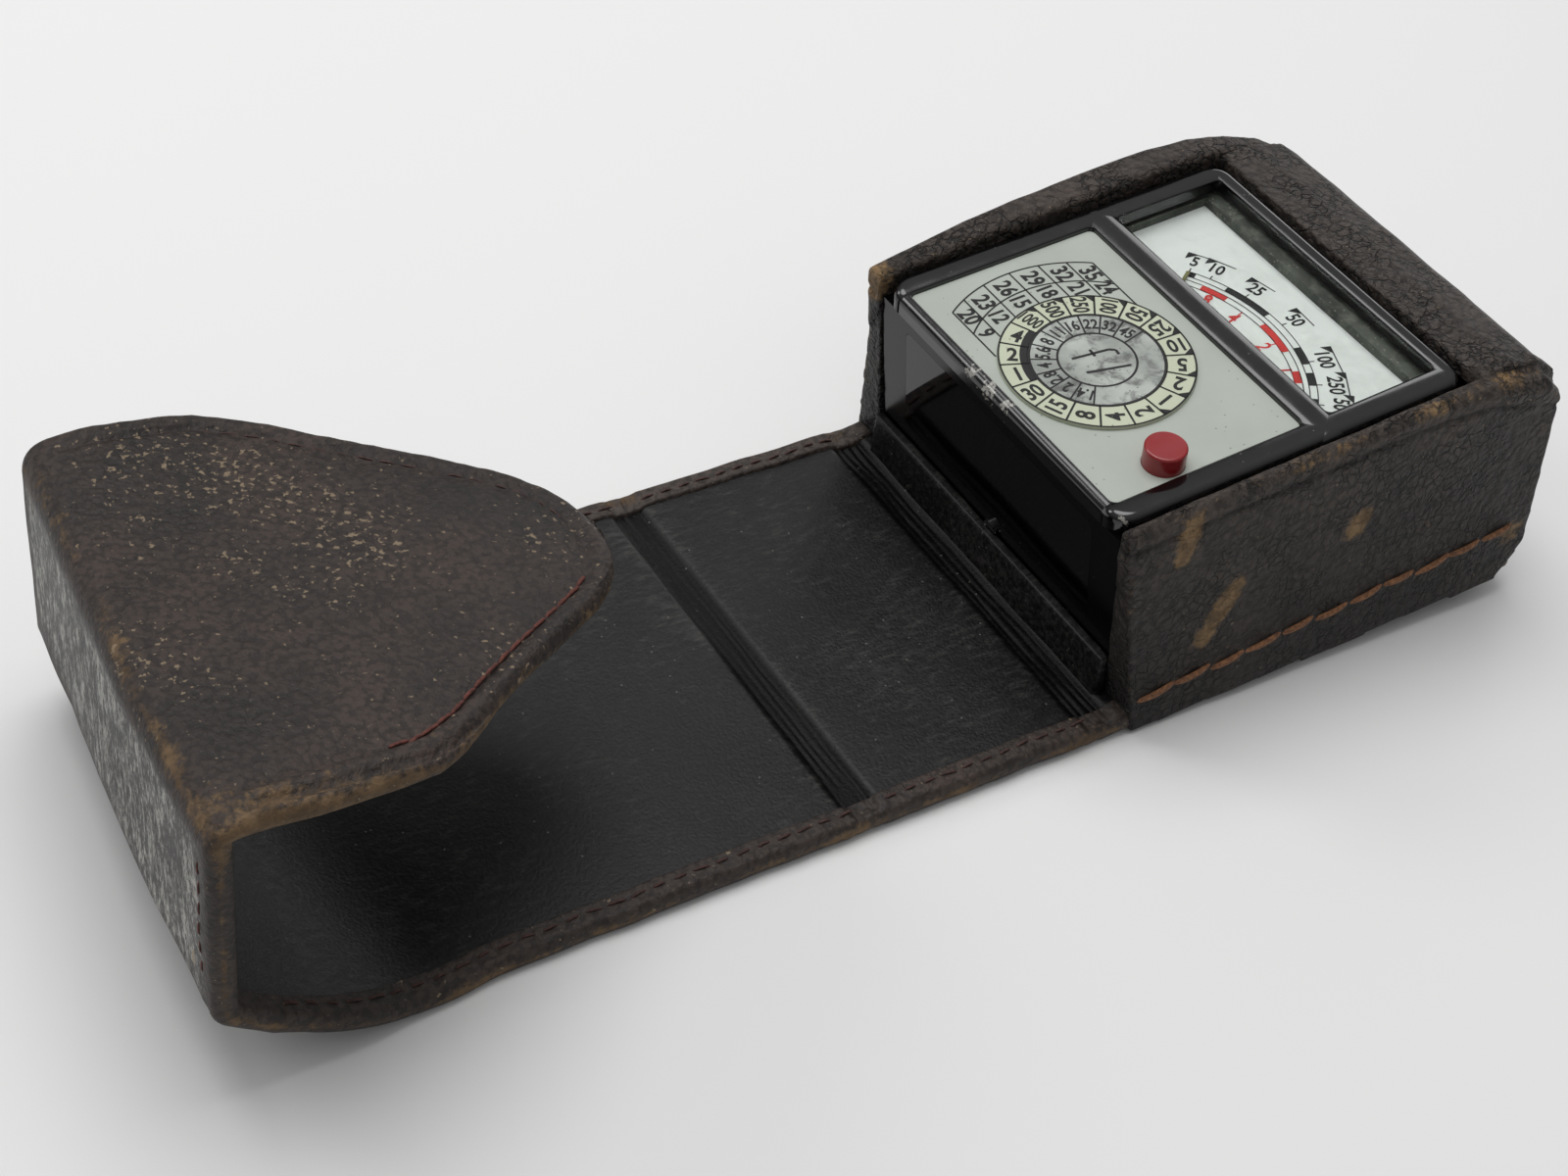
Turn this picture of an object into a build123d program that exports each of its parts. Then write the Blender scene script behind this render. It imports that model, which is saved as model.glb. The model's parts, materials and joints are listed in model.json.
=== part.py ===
"""Pocket exposure meter lying in its opened ever-ready leather case.

Axes: X runs along the open case from the cap (-X) to the meter (+X), Y across it, Z up.
The origin is on the ground, midway along the whole case, and on its centre line.
The tray and the meter rest tilted on the keeper strap, so they are drawn on the deck
planes, whose X and Y lie in the meter's face. All sizes are in millimetres and degrees.
"""
from build123d import *
import os
from math import cos, radians, sin, tan

os.makedirs("parts", exist_ok=True)

# ---- the leather strip: tray base, front panel and top panel in one line -------------
strip_margin = 6.15      # from the side of the meter to the edge of the strip
leather = 1.4            # outer leather
board = 0.8              # stiffening board
lining = 1.0             # lining leather
border = 3.6             # outer leather turned over the lining along each long edge
fold_half = 2.2          # bare leather each side of a fold line
roll_play = 0.5          # clearance between a fold and the panels beside it
front_panel_length = 37.0
top_panel_length = 78.1  # from the second fold to the end of the curl
base_margin = 1.5        # tray base behind the meter
base_rise = 2.55         # degrees that the tray base climbs on to the keeper strap

# ---- the cap: curl, end wall and tongue ----------------------------------------------
curl_radius = 31.0       # outer face
curl_angle = 38.0
ramp_length = 10.4       # straight leather after the curl, up to the corner
cap_skew = 7.0           # the cap's far corner stands this much further in
wall_height = 27.5       # between the end wall's two corners
tongue_thickness = 2.4
tongue_radius = 330.0    # gentle droop of the tongue
tongue_droop = 2.5       # degrees at its root
tongue_reach = 61.5      # from the end wall to the tongue's tip
tongue_square = 19.0     # full-width part of the tongue

# ---- the meter ------------------------------------------------------------------------
tilt = 5.2               # degrees that the face leans from level
face_height = 35.3       # dial centre above the ground
front_overhang = 0.6     # the face's front edge ahead of the first fold
housing_tail = 13.9      # housing behind the face frame
meter_half_width = 27.6
meter_depth = 29.6       # at the front
frame_depth = 2.2
rim_height = 0.6
rim_round = 1.3          # outer rounding of the face frame
rim_break = 0.3          # rounding of its inner edges
wall = 1.6               # housing wall
front_lean = 5.0         # degrees that the front face is undercut
front_rim = 1.7          # frame ahead of the face plate
side_rim = 4.0           # frame beside the face plate and the window
window_bar = 4.4         # frame between the face plate and the window
rear_rim = 3.1           # frame behind the window
plate_thickness = 0.8
window_run = 18.5
glass_thickness = 1.0
glass_lap = 1.0
mask_width = 2.9         # grey mask along the rear of the scale
scale_depth = 3.65
scale_thickness = 0.6

# ---- dial, button and movement --------------------------------------------------------
ring_radius = 13.5
dial_front = 1.2         # plate ahead of the dial
dial_rear = 2.8          # plate behind it
disc_radius = 9.2
collar_radius = 6.4
hub_radius = 2.4
dial_height = 0.5
running = 0.05           # running clearance, radial
button_radius = 2.9
button_x = -4.1
button_land = 0.5        # plate between the button and the plate's edge
button_height = 3.0
button_travel = 1.5
pivot_x = 4.3
pivot_y = -1.75
staff_radius = 0.4
needle_length = 25.4
needle_angle = 33.5
needle_depth = 3.4
magnet_outer = 10.5
magnet_inner = 5.6
core_radius = 3.5
magnet_top = 9.0
magnet_height = 8.0
bridge_top = 5.8
bridge_thickness = 0.9
coil_over = 1.2          # coil above and below the core
coil_gap = 0.4           # coil to the core and to the magnet

# ---- cell, resistor and fixings -------------------------------------------------------
cell_margin = 5.6        # housing beside the cell's window
cell_low = -22.2
cell_high = -4.2
cell_lap = 2.0           # cell behind the housing, beside its window
terminal_x = 34.0
terminal_depth = 20.0
terminal_length = 20.0
terminal_width = 30.0
terminal_thickness = 1.4
terminal_stand = 1.5
resistor_radius = 2.4
resistor_length = 18.0
screw_inset = 8.0        # rear case screw from the housing's rear
screw_front = -4.0       # front case screw
screw_radius = 1.0

# ---- tray -----------------------------------------------------------------------------
tray_leather = 2.0       # wall thickness at the rim
tray_flare = 6.6         # degrees that the side walls lean out
tray_clear = 0.2         # between the housing and the leather
hood_thickness = 2.4     # leather and lining behind the housing
hood_swell = 0.8         # how far the hood stands off them
hood_skin = 2.2          # leather of the hood itself
shoulder_run = 2.2       # the hood's rounded shoulder, seen from the side
shoulder_drop = 3.2
rear_drop = 8.0          # where the hood's rear starts to lean in
rear_lean = 2.4
rim_rise = 0.5           # leather above the face
lip_height = 5.0
lip_thickness = 1.3
keeper_width = 11.0
keeper_position = 34.0   # behind the first fold, along the base
keeper_thickness = 1.5

plate_front = ring_radius + dial_front
plate_rear = ring_radius + dial_rear
plate_half = meter_half_width - side_rim
window_front = plate_rear + window_bar
window_rear = window_front + window_run
meter_front = plate_front + front_rim
meter_frame = window_rear + rear_rim
meter_end = meter_frame + housing_tail
button_y = button_radius + button_land - plate_half
face_setback = meter_front - front_overhang
base_length = face_setback + meter_end + base_margin
cell_half = meter_half_width - cell_margin

strip = leather + board + lining
strip_width = 2 * (meter_half_width + strip_margin)
half_strip = strip_width / 2
curl_run = curl_radius * sin(radians(curl_angle))
curl_start = front_panel_length + top_panel_length - curl_run
corner_x = curl_start + curl_run + ramp_length * cos(radians(curl_angle))
fold_x = (corner_x + cap_skew / 2 - base_length - hood_swell) / 2
cap_fold_x = fold_x - front_panel_length

pieces = {}

# ---- planes ---------------------------------------------------------------------------
side = Plane(origin=(fold_x, 0, 0), x_dir=(1, 0, 0), z_dir=(0, -1, 0))
deck_x = Vector(cos(radians(tilt)), 0, sin(radians(tilt)))
deck_z = Vector(-sin(radians(tilt)), 0, cos(radians(tilt)))
dial_point = Vector(fold_x + face_setback, 0, face_height)
deck = Plane(origin=dial_point, x_dir=deck_x, z_dir=deck_z)
deck_side = Plane(origin=dial_point, x_dir=deck_x, z_dir=(0, -1, 0))
rise = Vector(cos(radians(base_rise)), 0, sin(radians(base_rise)))
base_side = Plane(origin=(fold_x, 0, strip / 2), x_dir=rise, z_dir=(0, -1, 0))

# The cap's corners run along corner_line, a diagonal across the ramp after the curl.
corner_line = Vector(cap_skew, strip_width, -cap_skew * tan(radians(curl_angle))).normalized()
ramp_up = Vector(-cos(radians(curl_angle)), 0, sin(radians(curl_angle)))
ramp_normal = Vector(sin(radians(curl_angle)), 0, cos(radians(curl_angle)))
ramp_across = ramp_up - corner_line * ramp_up.dot(corner_line)
ramp_foot = Vector(fold_x - curl_start - curl_run, 0, curl_radius * (1 - cos(radians(curl_angle))))
corner_point = ramp_foot + ramp_up * ramp_length + ramp_normal * (strip / 2)
wall_in = Vector(corner_line.Y, -corner_line.X, 0).normalized()
cap_section = Plane(origin=corner_point, x_dir=wall_in, z_dir=corner_line * -1)
wall_up = cap_section.y_dir
crown_point = corner_point + Vector(0, 0, wall_height / wall_up.Z)


def deck_point(x, y, z):
    """A point given in the meter's own axes, from the dial centre."""
    return deck.from_local_coords(Vector(x, y, z))


def slab(section, outline, half_width):
    """A flat or bent layer: its side outline, drawn on section, across the full width."""
    with BuildPart() as layer:
        with BuildSketch(section):
            with BuildLine():
                Polyline(*outline, close=True)
            make_face()
        extrude(amount=half_width, both=True)
    return layer


def straight(start, end, low, high):
    """Side outline of a straight layer."""
    return [(start, low), (end, low), (end, high), (start, high)]


def turned_leather(section, start, end, low):
    """Outer leather with both long edges turned over the board and the lining."""
    with BuildPart() as layer:
        with BuildSketch(section):
            with BuildLine():
                Polyline(*straight(start, end, low, low + strip), close=True)
            make_face()
        extrude(amount=half_strip, both=True)
        with BuildSketch(section):
            with BuildLine():
                Polyline(*straight(start, end, low + leather, low + strip), close=True)
            make_face()
        extrude(amount=half_strip - border, both=True, mode=Mode.SUBTRACT)
    return layer


def fold_roll(centre, direction, length):
    """The bare leather at a fold line, drawn as a slim roll along the fold."""
    with BuildPart() as roll:
        with BuildSketch(Plane(origin=centre, z_dir=direction)):
            Circle(min(fold_half - roll_play, strip / 2 - 0.1))
        extrude(amount=length / 2, both=True)
    return roll


# ---- tray base and front panel --------------------------------------------------------
inner_half = half_strip - border
for name, section, start, end, low in (
    ("tray_base", base_side, fold_half, base_length, -strip / 2),
    ("front_panel", side, fold_half - front_panel_length, -fold_half, 0),
):
    middle = low + leather
    pieces[name + "_leather"] = turned_leather(section, start, end, low)
    outline = straight(start, end, middle, middle + board)
    pieces[name + "_board"] = slab(section, outline, inner_half)
    outline = straight(start, end, middle + board, low + strip)
    pieces[name + "_lining"] = slab(section, outline, inner_half)

pieces["front_fold"] = fold_roll((fold_x, 0, strip / 2), (0, 1, 0), strip_width)
pieces["top_fold"] = fold_roll((cap_fold_x, 0, strip / 2), (0, 1, 0), strip_width)
pieces["cap_fold"] = fold_roll(corner_point, corner_line, strip_width)
pieces["crown_fold"] = fold_roll(crown_point, corner_line, strip_width)


# ---- top panel: flat, then curling up to the cap's corner ------------------------------
ramp_end = corner_point - ramp_across.normalized() * fold_half
ramp_cut = Plane(origin=ramp_end, z_dir=ramp_across)


def curled_layer(low, high, half_width, pocket=False):
    """One layer of the top panel between two depths from its outer face."""
    centre = (-curl_start, curl_radius)
    reach = ramp_length + strip_width
    with BuildPart() as layer:
        for inner, outer, half, mode in (
            (low, high, half_width, Mode.ADD),
            (low + leather, high, half_width - border, Mode.SUBTRACT),
        ):
            if mode == Mode.SUBTRACT and not pocket:
                continue
            with BuildSketch(side):
                with BuildLine():
                    first = -front_panel_length - fold_half
                    under = CenterArc(centre, curl_radius - inner, 270, -curl_angle)
                    over = CenterArc(centre, curl_radius - outer, 270, -curl_angle)
                    climb = Vector(-cos(radians(curl_angle)), sin(radians(curl_angle))) * reach
                    Line((first, inner), under @ 0)
                    Line((first, outer), over @ 0)
                    Line((first, inner), (first, outer))
                    Line(under @ 1, (under @ 1) + climb)
                    Line(over @ 1, (over @ 1) + climb)
                    Line((under @ 1) + climb, (over @ 1) + climb)
                make_face()
            extrude(amount=half, both=True, mode=mode)
        split(bisect_by=ramp_cut, keep=Keep.BOTTOM)
    return layer


pieces["top_panel_leather"] = curled_layer(0, strip, half_strip, pocket=True)
pieces["top_panel_board"] = curled_layer(leather, leather + board, inner_half)
pieces["top_panel_lining"] = curled_layer(leather + board, strip, inner_half)


# ---- end wall and tongue of the cap ---------------------------------------------------
def trimmed(layer, half):
    """The layer cut to the strip's straight side edges."""
    with BuildPart() as piece:
        add(layer.part)
        split(bisect_by=Plane.XZ.offset(half), keep=Keep.BOTTOM)
        split(bisect_by=Plane.XZ.offset(-half), keep=Keep.TOP)
    return piece


wall_start = fold_half
wall_end = wall_height - fold_half
for name, low, high, half in (
    ("end_wall_leather", 0, leather, half_strip),
    ("end_wall_board", leather, leather + board, inner_half),
    ("end_wall_lining", leather + board, strip, half_strip),
):
    outline = [(z - strip / 2, s) for s, z in straight(wall_start, wall_end, low, high)]
    pieces[name] = trimmed(slab(cap_section, outline, strip_width), half)


def tongue_layer(low, high):
    """A layer of the drooping tongue between two depths from its outer face."""
    top = tongue_radius + tongue_thickness / 2
    root = 90 - tongue_droop
    sweep = (tongue_reach + cap_skew) / tongue_radius
    centre = Vector(0, wall_height) - Vector(cos(radians(root)), sin(radians(root))) * tongue_radius
    start = root - fold_half / tongue_radius / radians(1)
    with BuildPart() as layer:
        with BuildSketch(cap_section):
            with BuildLine():
                under = CenterArc(centre, top - high, start, -sweep / radians(1))
                over = CenterArc(centre, top - low, start, -sweep / radians(1))
                Line(under @ 0, over @ 0)
                Line(under @ 1, over @ 1)
            make_face()
        extrude(amount=strip_width, both=True)
        with BuildSketch(Plane.XY):
            root_x = crown_point.X
            shoulder = root_x + tongue_square
            tip = root_x + tongue_reach
            run = tip - shoulder
            with BuildLine():
                curve = Spline(
                    (shoulder, half_strip),
                    (shoulder + 0.27 * run, 0.88 * half_strip),
                    (shoulder + 0.53 * run, 0.65 * half_strip),
                    (shoulder + 0.83 * run, 0.41 * half_strip),
                    (tip, 0),
                    tangents=[(1, 0), (0, -1)],
                )
                Line((root_x - cap_skew, half_strip), curve @ 0)
                Line((root_x - cap_skew, 0), (root_x - cap_skew, half_strip))
                mirror(about=Plane.XZ)
            make_face()
        extrude(amount=crown_point.Z * 2, mode=Mode.INTERSECT)
    return layer


pieces["tongue_leather"] = tongue_layer(0, leather)
pieces["tongue_lining"] = tongue_layer(leather, tongue_thickness)

# ---- tray walls on the deck planes ----------------------------------------------------
base_top = base_side.from_local_coords(Vector(0, strip / 2, 0))
seat = deck_side.to_local_coords(base_top)
seat_slope = tan(radians(base_rise - tilt))


def seat_height(x, lift=0.0):
    """Height of the tray base's upper face in the meter's axes, plus a lift."""
    return seat.Y + (x - seat.X) * seat_slope + lift


def front_edge(z, offset=0.0):
    """The undercut front of the meter at height z."""
    return -meter_front - z * tan(radians(front_lean)) - offset


tray_end = meter_end + tray_clear + hood_thickness + hood_swell
foot = seat_height(front_edge(-meter_depth))


def tray_outline(inset):
    """Side outline of the tray, inset from its outer face; the base stays on its seat."""
    rear = tray_end - inset
    return [
        (front_edge(rim_rise, tray_clear), rim_rise),
        (meter_frame + 2 * tray_clear, rim_rise - inset),
        (rear - shoulder_run, -shoulder_drop - inset),
        (rear, -rear_drop - inset),
        (rear - rear_lean, seat_height(rear - rear_lean)),
        (front_edge(foot, tray_clear), seat_height(front_edge(foot, tray_clear))),
    ]


def side_wall(sign):
    """One side wall of the tray: straight inside, leaning outside."""
    inside = meter_half_width + tray_clear
    lean = radians(tray_flare)
    outside = deck_point(0, sign * (inside + tray_leather), rim_rise)
    outward = Vector(0, sign * cos(lean), 0) + deck_z * sin(lean)
    with BuildPart() as piece:
        with BuildSketch(deck_side.offset(-sign * inside)):
            with BuildLine():
                Polyline(*tray_outline(0), close=True)
            make_face()
        extrude(amount=-sign * meter_half_width / 3)
        split(bisect_by=Plane(origin=outside, z_dir=outward), keep=Keep.BOTTOM)
    return piece


pieces["near_wall"] = side_wall(-1)
pieces["far_wall"] = side_wall(1)

with BuildPart() as end_hood:
    with BuildSketch(deck_side):
        with BuildLine():
            outer = tray_outline(0)
            inner = tray_outline(hood_skin)
            Polyline(*outer[1:5], *reversed(inner[1:5]), close=True)
        make_face()
    extrude(amount=meter_half_width + tray_clear, both=True)
pieces["end_hood"] = end_hood

with BuildPart() as front_lip:
    with BuildSketch(deck_side):
        with BuildLine():
            Polyline(
                (front_edge(foot, running), seat_height(front_edge(foot, running))),
                (front_edge(foot, lip_thickness), seat_height(front_edge(foot, lip_thickness))),
                (front_edge(foot + lip_height, lip_thickness), foot + lip_height),
                (front_edge(foot + lip_height, running), foot + lip_height),
                close=True,
            )
        make_face()
    extrude(amount=meter_half_width + tray_clear, both=True)
pieces["front_lip"] = front_lip

with BuildPart() as keeper:
    with BuildSketch(base_side):
        with BuildLine():
            Polyline(
                (keeper_position, -strip / 2),
                (keeper_position + keeper_width, -strip / 2),
                (keeper_position + keeper_width, -strip / 2 - keeper_thickness),
                (keeper_position, -strip / 2 - keeper_thickness),
                close=True,
            )
        make_face()
    extrude(amount=half_strip - 0.6, both=True)
pieces["keeper_strap"] = keeper

# ---- housing --------------------------------------------------------------------------
shell_top = -frame_depth
shell_shoulder = 3.6
shell_rear = 8.6
body_rear = meter_end


def housing_outline():
    """Side outline of the housing below the face frame."""
    foot_rear = body_rear - rear_lean
    foot_front = front_edge(foot)
    return [
        (front_edge(shell_top), shell_top),
        (meter_frame, shell_top),
        (body_rear - rear_lean, shell_top - shell_shoulder),
        (body_rear, shell_top - shell_rear),
        (foot_rear, seat_height(foot_rear, tray_clear)),
        (foot_front, seat_height(foot_front, tray_clear)),
    ]


adjuster_depth = -24.3
adjuster_radius = 0.9
screw_x = body_rear - screw_inset
front_face = Plane(
    origin=deck_point(front_edge(0), 0, 0),
    x_dir=(0, -1, 0),
    z_dir=(deck_x * -cos(radians(front_lean)) - deck_z * sin(radians(front_lean))),
)
cell_mid = (cell_low + cell_high) / 2
cell_tall = cell_high - cell_low

with BuildPart() as body_shell:
    with BuildSketch(deck_side):
        with BuildLine():
            Polyline(*housing_outline(), close=True)
        make_face()
    extrude(amount=meter_half_width, both=True)
    with BuildSketch(deck_side):
        with BuildLine():
            Polyline(*housing_outline(), close=True)
        make_face()
        offset(amount=-wall, kind=Kind.INTERSECTION)
    extrude(amount=meter_half_width - wall, both=True, mode=Mode.SUBTRACT)
    with BuildSketch(deck.offset(shell_top)):
        with Locations(((meter_frame - meter_front) / 2, 0)):
            Rectangle(meter_front + meter_frame - 2 * wall, 2 * (meter_half_width - wall))
    extrude(amount=-3, mode=Mode.SUBTRACT)
    with BuildSketch(front_face):
        with Locations((0, cell_mid)):
            RectangleRounded(2 * cell_half, cell_tall, 1.5)
        with Locations((0, adjuster_depth)):
            Circle(adjuster_radius + running)
    extrude(amount=-3 * wall, both=True, mode=Mode.SUBTRACT)
    with BuildSketch(deck.offset(-meter_depth)):
        with Locations((screw_x, 0), (screw_front, 0)):
            Circle(screw_radius + running)
    extrude(amount=-8, both=True, mode=Mode.SUBTRACT)
pieces["body_shell"] = body_shell

with BuildPart() as cell_glass:
    with BuildSketch(front_face):
        with Locations((0, cell_mid)):
            RectangleRounded(2 * cell_half - 0.1, cell_tall - 0.1, 1.45)
    extrude(amount=-wall)
pieces["cell_glass"] = cell_glass

with BuildPart() as selenium_cell:
    with BuildSketch(front_face.offset(-wall - 0.2)):
        with Locations((0, cell_mid)):
            Rectangle(2 * (cell_half + cell_lap), cell_tall + 1)
    extrude(amount=-0.8)
pieces["selenium_cell"] = selenium_cell

with BuildPart() as cell_contact:
    with BuildSketch(front_face.offset(-wall - 1.0)):
        with Locations((0, cell_mid)):
            Rectangle(2 * (cell_half + cell_lap), cell_tall + 1)
            Rectangle(2 * cell_half, cell_tall - 4, mode=Mode.SUBTRACT)
    extrude(amount=-0.4)
pieces["cell_contact"] = cell_contact

with BuildPart() as cell_clamp:
    with BuildSketch(front_face.offset(-wall - 1.4)):
        with Locations((cell_half - 6, cell_mid), (6 - cell_half, cell_mid)):
            Rectangle(5, cell_tall + 1)
    extrude(amount=-1.0)
pieces["cell_clamp"] = cell_clamp

with BuildPart() as zero_screw:
    with BuildSketch(front_face.offset(-wall - 2)):
        with Locations((0, adjuster_depth)):
            Circle(adjuster_radius)
    extrude(amount=wall + 2)
    with BuildSketch(front_face):
        with Locations((0, adjuster_depth)):
            Circle(1.25)
    extrude(amount=0.6)
    with BuildSketch(front_face.offset(0.6)):
        with Locations((0, adjuster_depth)):
            Rectangle(2.7, 0.4)
    extrude(amount=-0.3, mode=Mode.SUBTRACT)
pieces["zero_screw"] = zero_screw

# ---- face frame, plates and glass -----------------------------------------------------
frame_length = meter_front + meter_frame
frame_mid = (meter_frame - meter_front) / 2
plate_mid = (plate_rear - plate_front) / 2
window_mid = (window_front + window_rear) / 2
window_length = window_rear - window_front

with BuildPart() as face_frame:
    with BuildSketch(deck.offset(-frame_depth)):
        with Locations((frame_mid, 0)):
            RectangleRounded(frame_length, 2 * meter_half_width, 3.8)
    extrude(amount=frame_depth + rim_height)
    rim = face_frame.faces().sort_by(Axis(dial_point, deck_z))[-1]
    fillet(rim.edges(), radius=rim_round)
    with BuildSketch(deck.offset(-plate_thickness)):
        with Locations((plate_mid, 0)):
            RectangleRounded(plate_front + plate_rear + 0.1, 2 * plate_half + 0.1, 1.0)
    extrude(amount=plate_thickness + rim_height, mode=Mode.SUBTRACT)
    with BuildSketch(deck.offset(-frame_depth)):
        with Locations((window_mid, 0)):
            RectangleRounded(window_length, 2 * plate_half, 0.8)
    extrude(amount=frame_depth + rim_height, mode=Mode.SUBTRACT)
    rim = face_frame.faces().sort_by(Axis(dial_point, deck_z))[-1]
    fillet([edge for wire in rim.inner_wires() for edge in wire.edges()], radius=rim_break)
    with BuildSketch(deck.offset(-frame_depth)):
        with Locations((window_mid, 0)):
            Rectangle(window_length + 2 * glass_lap, 2 * (plate_half + glass_lap))
    extrude(amount=glass_thickness, mode=Mode.SUBTRACT)
    with BuildSketch(deck.offset(-frame_depth)):
        Circle(hub_radius + 2 * running)
        with Locations((button_x, button_y)):
            Circle(button_radius + 2 * running)
    extrude(amount=frame_depth, mode=Mode.SUBTRACT)
pieces["face_frame"] = face_frame

with BuildPart() as face_plate:
    with BuildSketch(deck.offset(-plate_thickness)):
        with Locations((plate_mid, 0)):
            RectangleRounded(plate_front + plate_rear, 2 * plate_half, 0.95)
        Circle(hub_radius + running, mode=Mode.SUBTRACT)
        with Locations((button_x, button_y)):
            Circle(button_radius + running, mode=Mode.SUBTRACT)
    extrude(amount=plate_thickness)
pieces["face_plate"] = face_plate

with BuildPart() as window_glass:
    with BuildSketch(deck.offset(-frame_depth)):
        with Locations((window_mid, 0)):
            Rectangle(window_length + 2 * glass_lap - 0.1, 2 * (plate_half + glass_lap) - 0.1)
    extrude(amount=glass_thickness)
pieces["window_glass"] = window_glass

with BuildPart() as scale_plate:
    with BuildSketch(deck.offset(-scale_depth - scale_thickness)):
        with Locations((window_mid, 0)):
            Rectangle(window_length + 2 * glass_lap, 2 * (plate_half + glass_lap))
    extrude(amount=scale_thickness)
pieces["scale_plate"] = scale_plate

mask_height = scale_depth - frame_depth
with BuildPart() as scale_mask:
    with BuildSketch(deck.offset(-scale_depth)):
        with Locations((window_rear + glass_lap - mask_width / 2, 0)):
            Rectangle(mask_width, 2 * (plate_half + glass_lap))
        with Locations((window_mid, plate_half + glass_lap / 2), (window_mid, -plate_half - glass_lap / 2)):
            Rectangle(window_length + 2 * glass_lap, glass_lap)
    extrude(amount=mask_height)
pieces["scale_mask"] = scale_mask

# ---- calculator dial ------------------------------------------------------------------
lift = running
lap_step = dial_height / 2


def turned(points):
    """A piece turned about the dial's axis from half its section, as (radius, height)."""
    with BuildPart() as piece:
        with BuildSketch(deck_side):
            with BuildLine():
                Polyline(*points, close=True)
            make_face()
        revolve(axis=Axis(dial_point, deck_z))
    return piece


pieces["dial_ring"] = turned([
    (collar_radius + 2 * running, lift),
    (ring_radius, lift),
    (ring_radius, dial_height),
    (disc_radius + 2 * running, dial_height),
    (disc_radius + 2 * running, lap_step),
    (collar_radius + 2 * running, lap_step),
])
clip_top = -frame_depth - lift
pieces["aperture_disc"] = turned([
    (0, clip_top - 0.5),
    (hub_radius, clip_top - 0.5),
    (hub_radius, lift),
    (collar_radius, lift),
    (collar_radius, lap_step + lift),
    (disc_radius, lap_step + lift),
    (disc_radius, dial_height),
    (0, dial_height),
])
pieces["dial_clip"] = turned([
    (hub_radius, clip_top - 0.5),
    (hub_radius + 1.4, clip_top - 0.5),
    (hub_radius + 1.4, clip_top),
    (hub_radius, clip_top),
])

# ---- red button, its guide, spring and switch ------------------------------------------
flange_top = -frame_depth - 0.1
guide_top = -8.0
guide_thickness = 0.8
guide_post = 5.2
guide_width = 8.0
flange = 0.7
flange_thickness = 0.8
leaf_thickness = 0.3
stem_radius = 1.0
spring_radius = 1.9
spring_wire = 0.25
leaf_top = -10.6
with BuildPart() as button:
    with BuildSketch(deck.offset(flange_top)):
        with Locations((button_x, button_y)):
            Circle(button_radius)
    extrude(amount=button_height - flange_top)
    rim = button.faces().sort_by(Axis(dial_point, deck_z))[-1]
    fillet(rim.edges(), radius=0.35)
    with BuildSketch(deck.offset(flange_top)):
        with Locations((button_x, button_y)):
            Circle(button_radius + flange)
    extrude(amount=-flange_thickness)
    with BuildSketch(deck.offset(flange_top)):
        with Locations((button_x, button_y)):
            Circle(stem_radius)
    extrude(amount=guide_top - guide_thickness - 0.2 - flange_top)
pieces["button"] = button

with BuildPart() as button_guide:
    with BuildSketch(deck.offset(guide_top)):
        with Locations((button_x, button_y)):
            Rectangle(2 * (guide_post + guide_thickness), guide_width)
            Circle(stem_radius + running, mode=Mode.SUBTRACT)
    extrude(amount=-guide_thickness)
    with BuildSketch(deck.offset(guide_top)):
        with Locations((button_x - guide_post, button_y), (button_x + guide_post, button_y)):
            Rectangle(2 * guide_thickness, guide_width)
    extrude(amount=-frame_depth - guide_top)
pieces["button_guide"] = button_guide

spring_top = flange_top - flange_thickness - running
spring_height = spring_top - guide_top
with BuildPart() as button_spring:
    coils = 4
    pitch = spring_height / coils
    for coil in range(coils):
        centre = guide_top + pitch * (coil + 0.5)
        with BuildSketch(deck.offset(centre - spring_wire)):
            with Locations((button_x, button_y)):
                Circle(spring_radius + spring_wire)
                Circle(spring_radius - spring_wire, mode=Mode.SUBTRACT)
        extrude(amount=2 * spring_wire)
pieces["button_spring"] = button_spring

with BuildPart() as switch_block:
    with BuildSketch(deck.offset(leaf_top - leaf_thickness)):
        with Locations((button_x + 12, button_y)):
            Rectangle(6, 6)
    extrude(amount=-6)
pieces["switch_block"] = switch_block

with BuildPart() as switch_leaf:
    with BuildSketch(deck.offset(leaf_top)):
        with Locations((button_x + 6.5, button_y)):
            Rectangle(17, 3)
    extrude(amount=-leaf_thickness)
pieces["switch_leaf"] = switch_leaf

# ---- moving-coil movement --------------------------------------------------------------
movement = Plane(origin=deck_point(pivot_x, pivot_y, 0), x_dir=deck_x, z_dir=deck_z)
magnet_bottom = -magnet_top - magnet_height

with BuildPart() as magnet:
    with BuildSketch(movement.offset(-magnet_top)):
        Circle(magnet_outer)
        Circle(magnet_inner, mode=Mode.SUBTRACT)
    extrude(amount=-magnet_height)
pieces["ring_magnet"] = magnet

with BuildPart() as core:
    with BuildSketch(movement.offset(-magnet_top)):
        Circle(core_radius)
        Circle(staff_radius + 0.2, mode=Mode.SUBTRACT)
    extrude(amount=-magnet_height)
    arm_half = 0.8
    arm_end = (magnet_inner**2 - arm_half**2) ** 0.5
    with BuildSketch(movement.offset(-magnet_top - magnet_height / 2 + arm_half)):
        arm = arm_end - core_radius + arm_half
        arm_mid = arm_end - arm / 2
        with Locations((0, arm_mid), (0, -arm_mid)):
            Rectangle(2 * arm_half, arm)
    extrude(amount=-2 * arm_half)
pieces["iron_core"] = core

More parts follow.
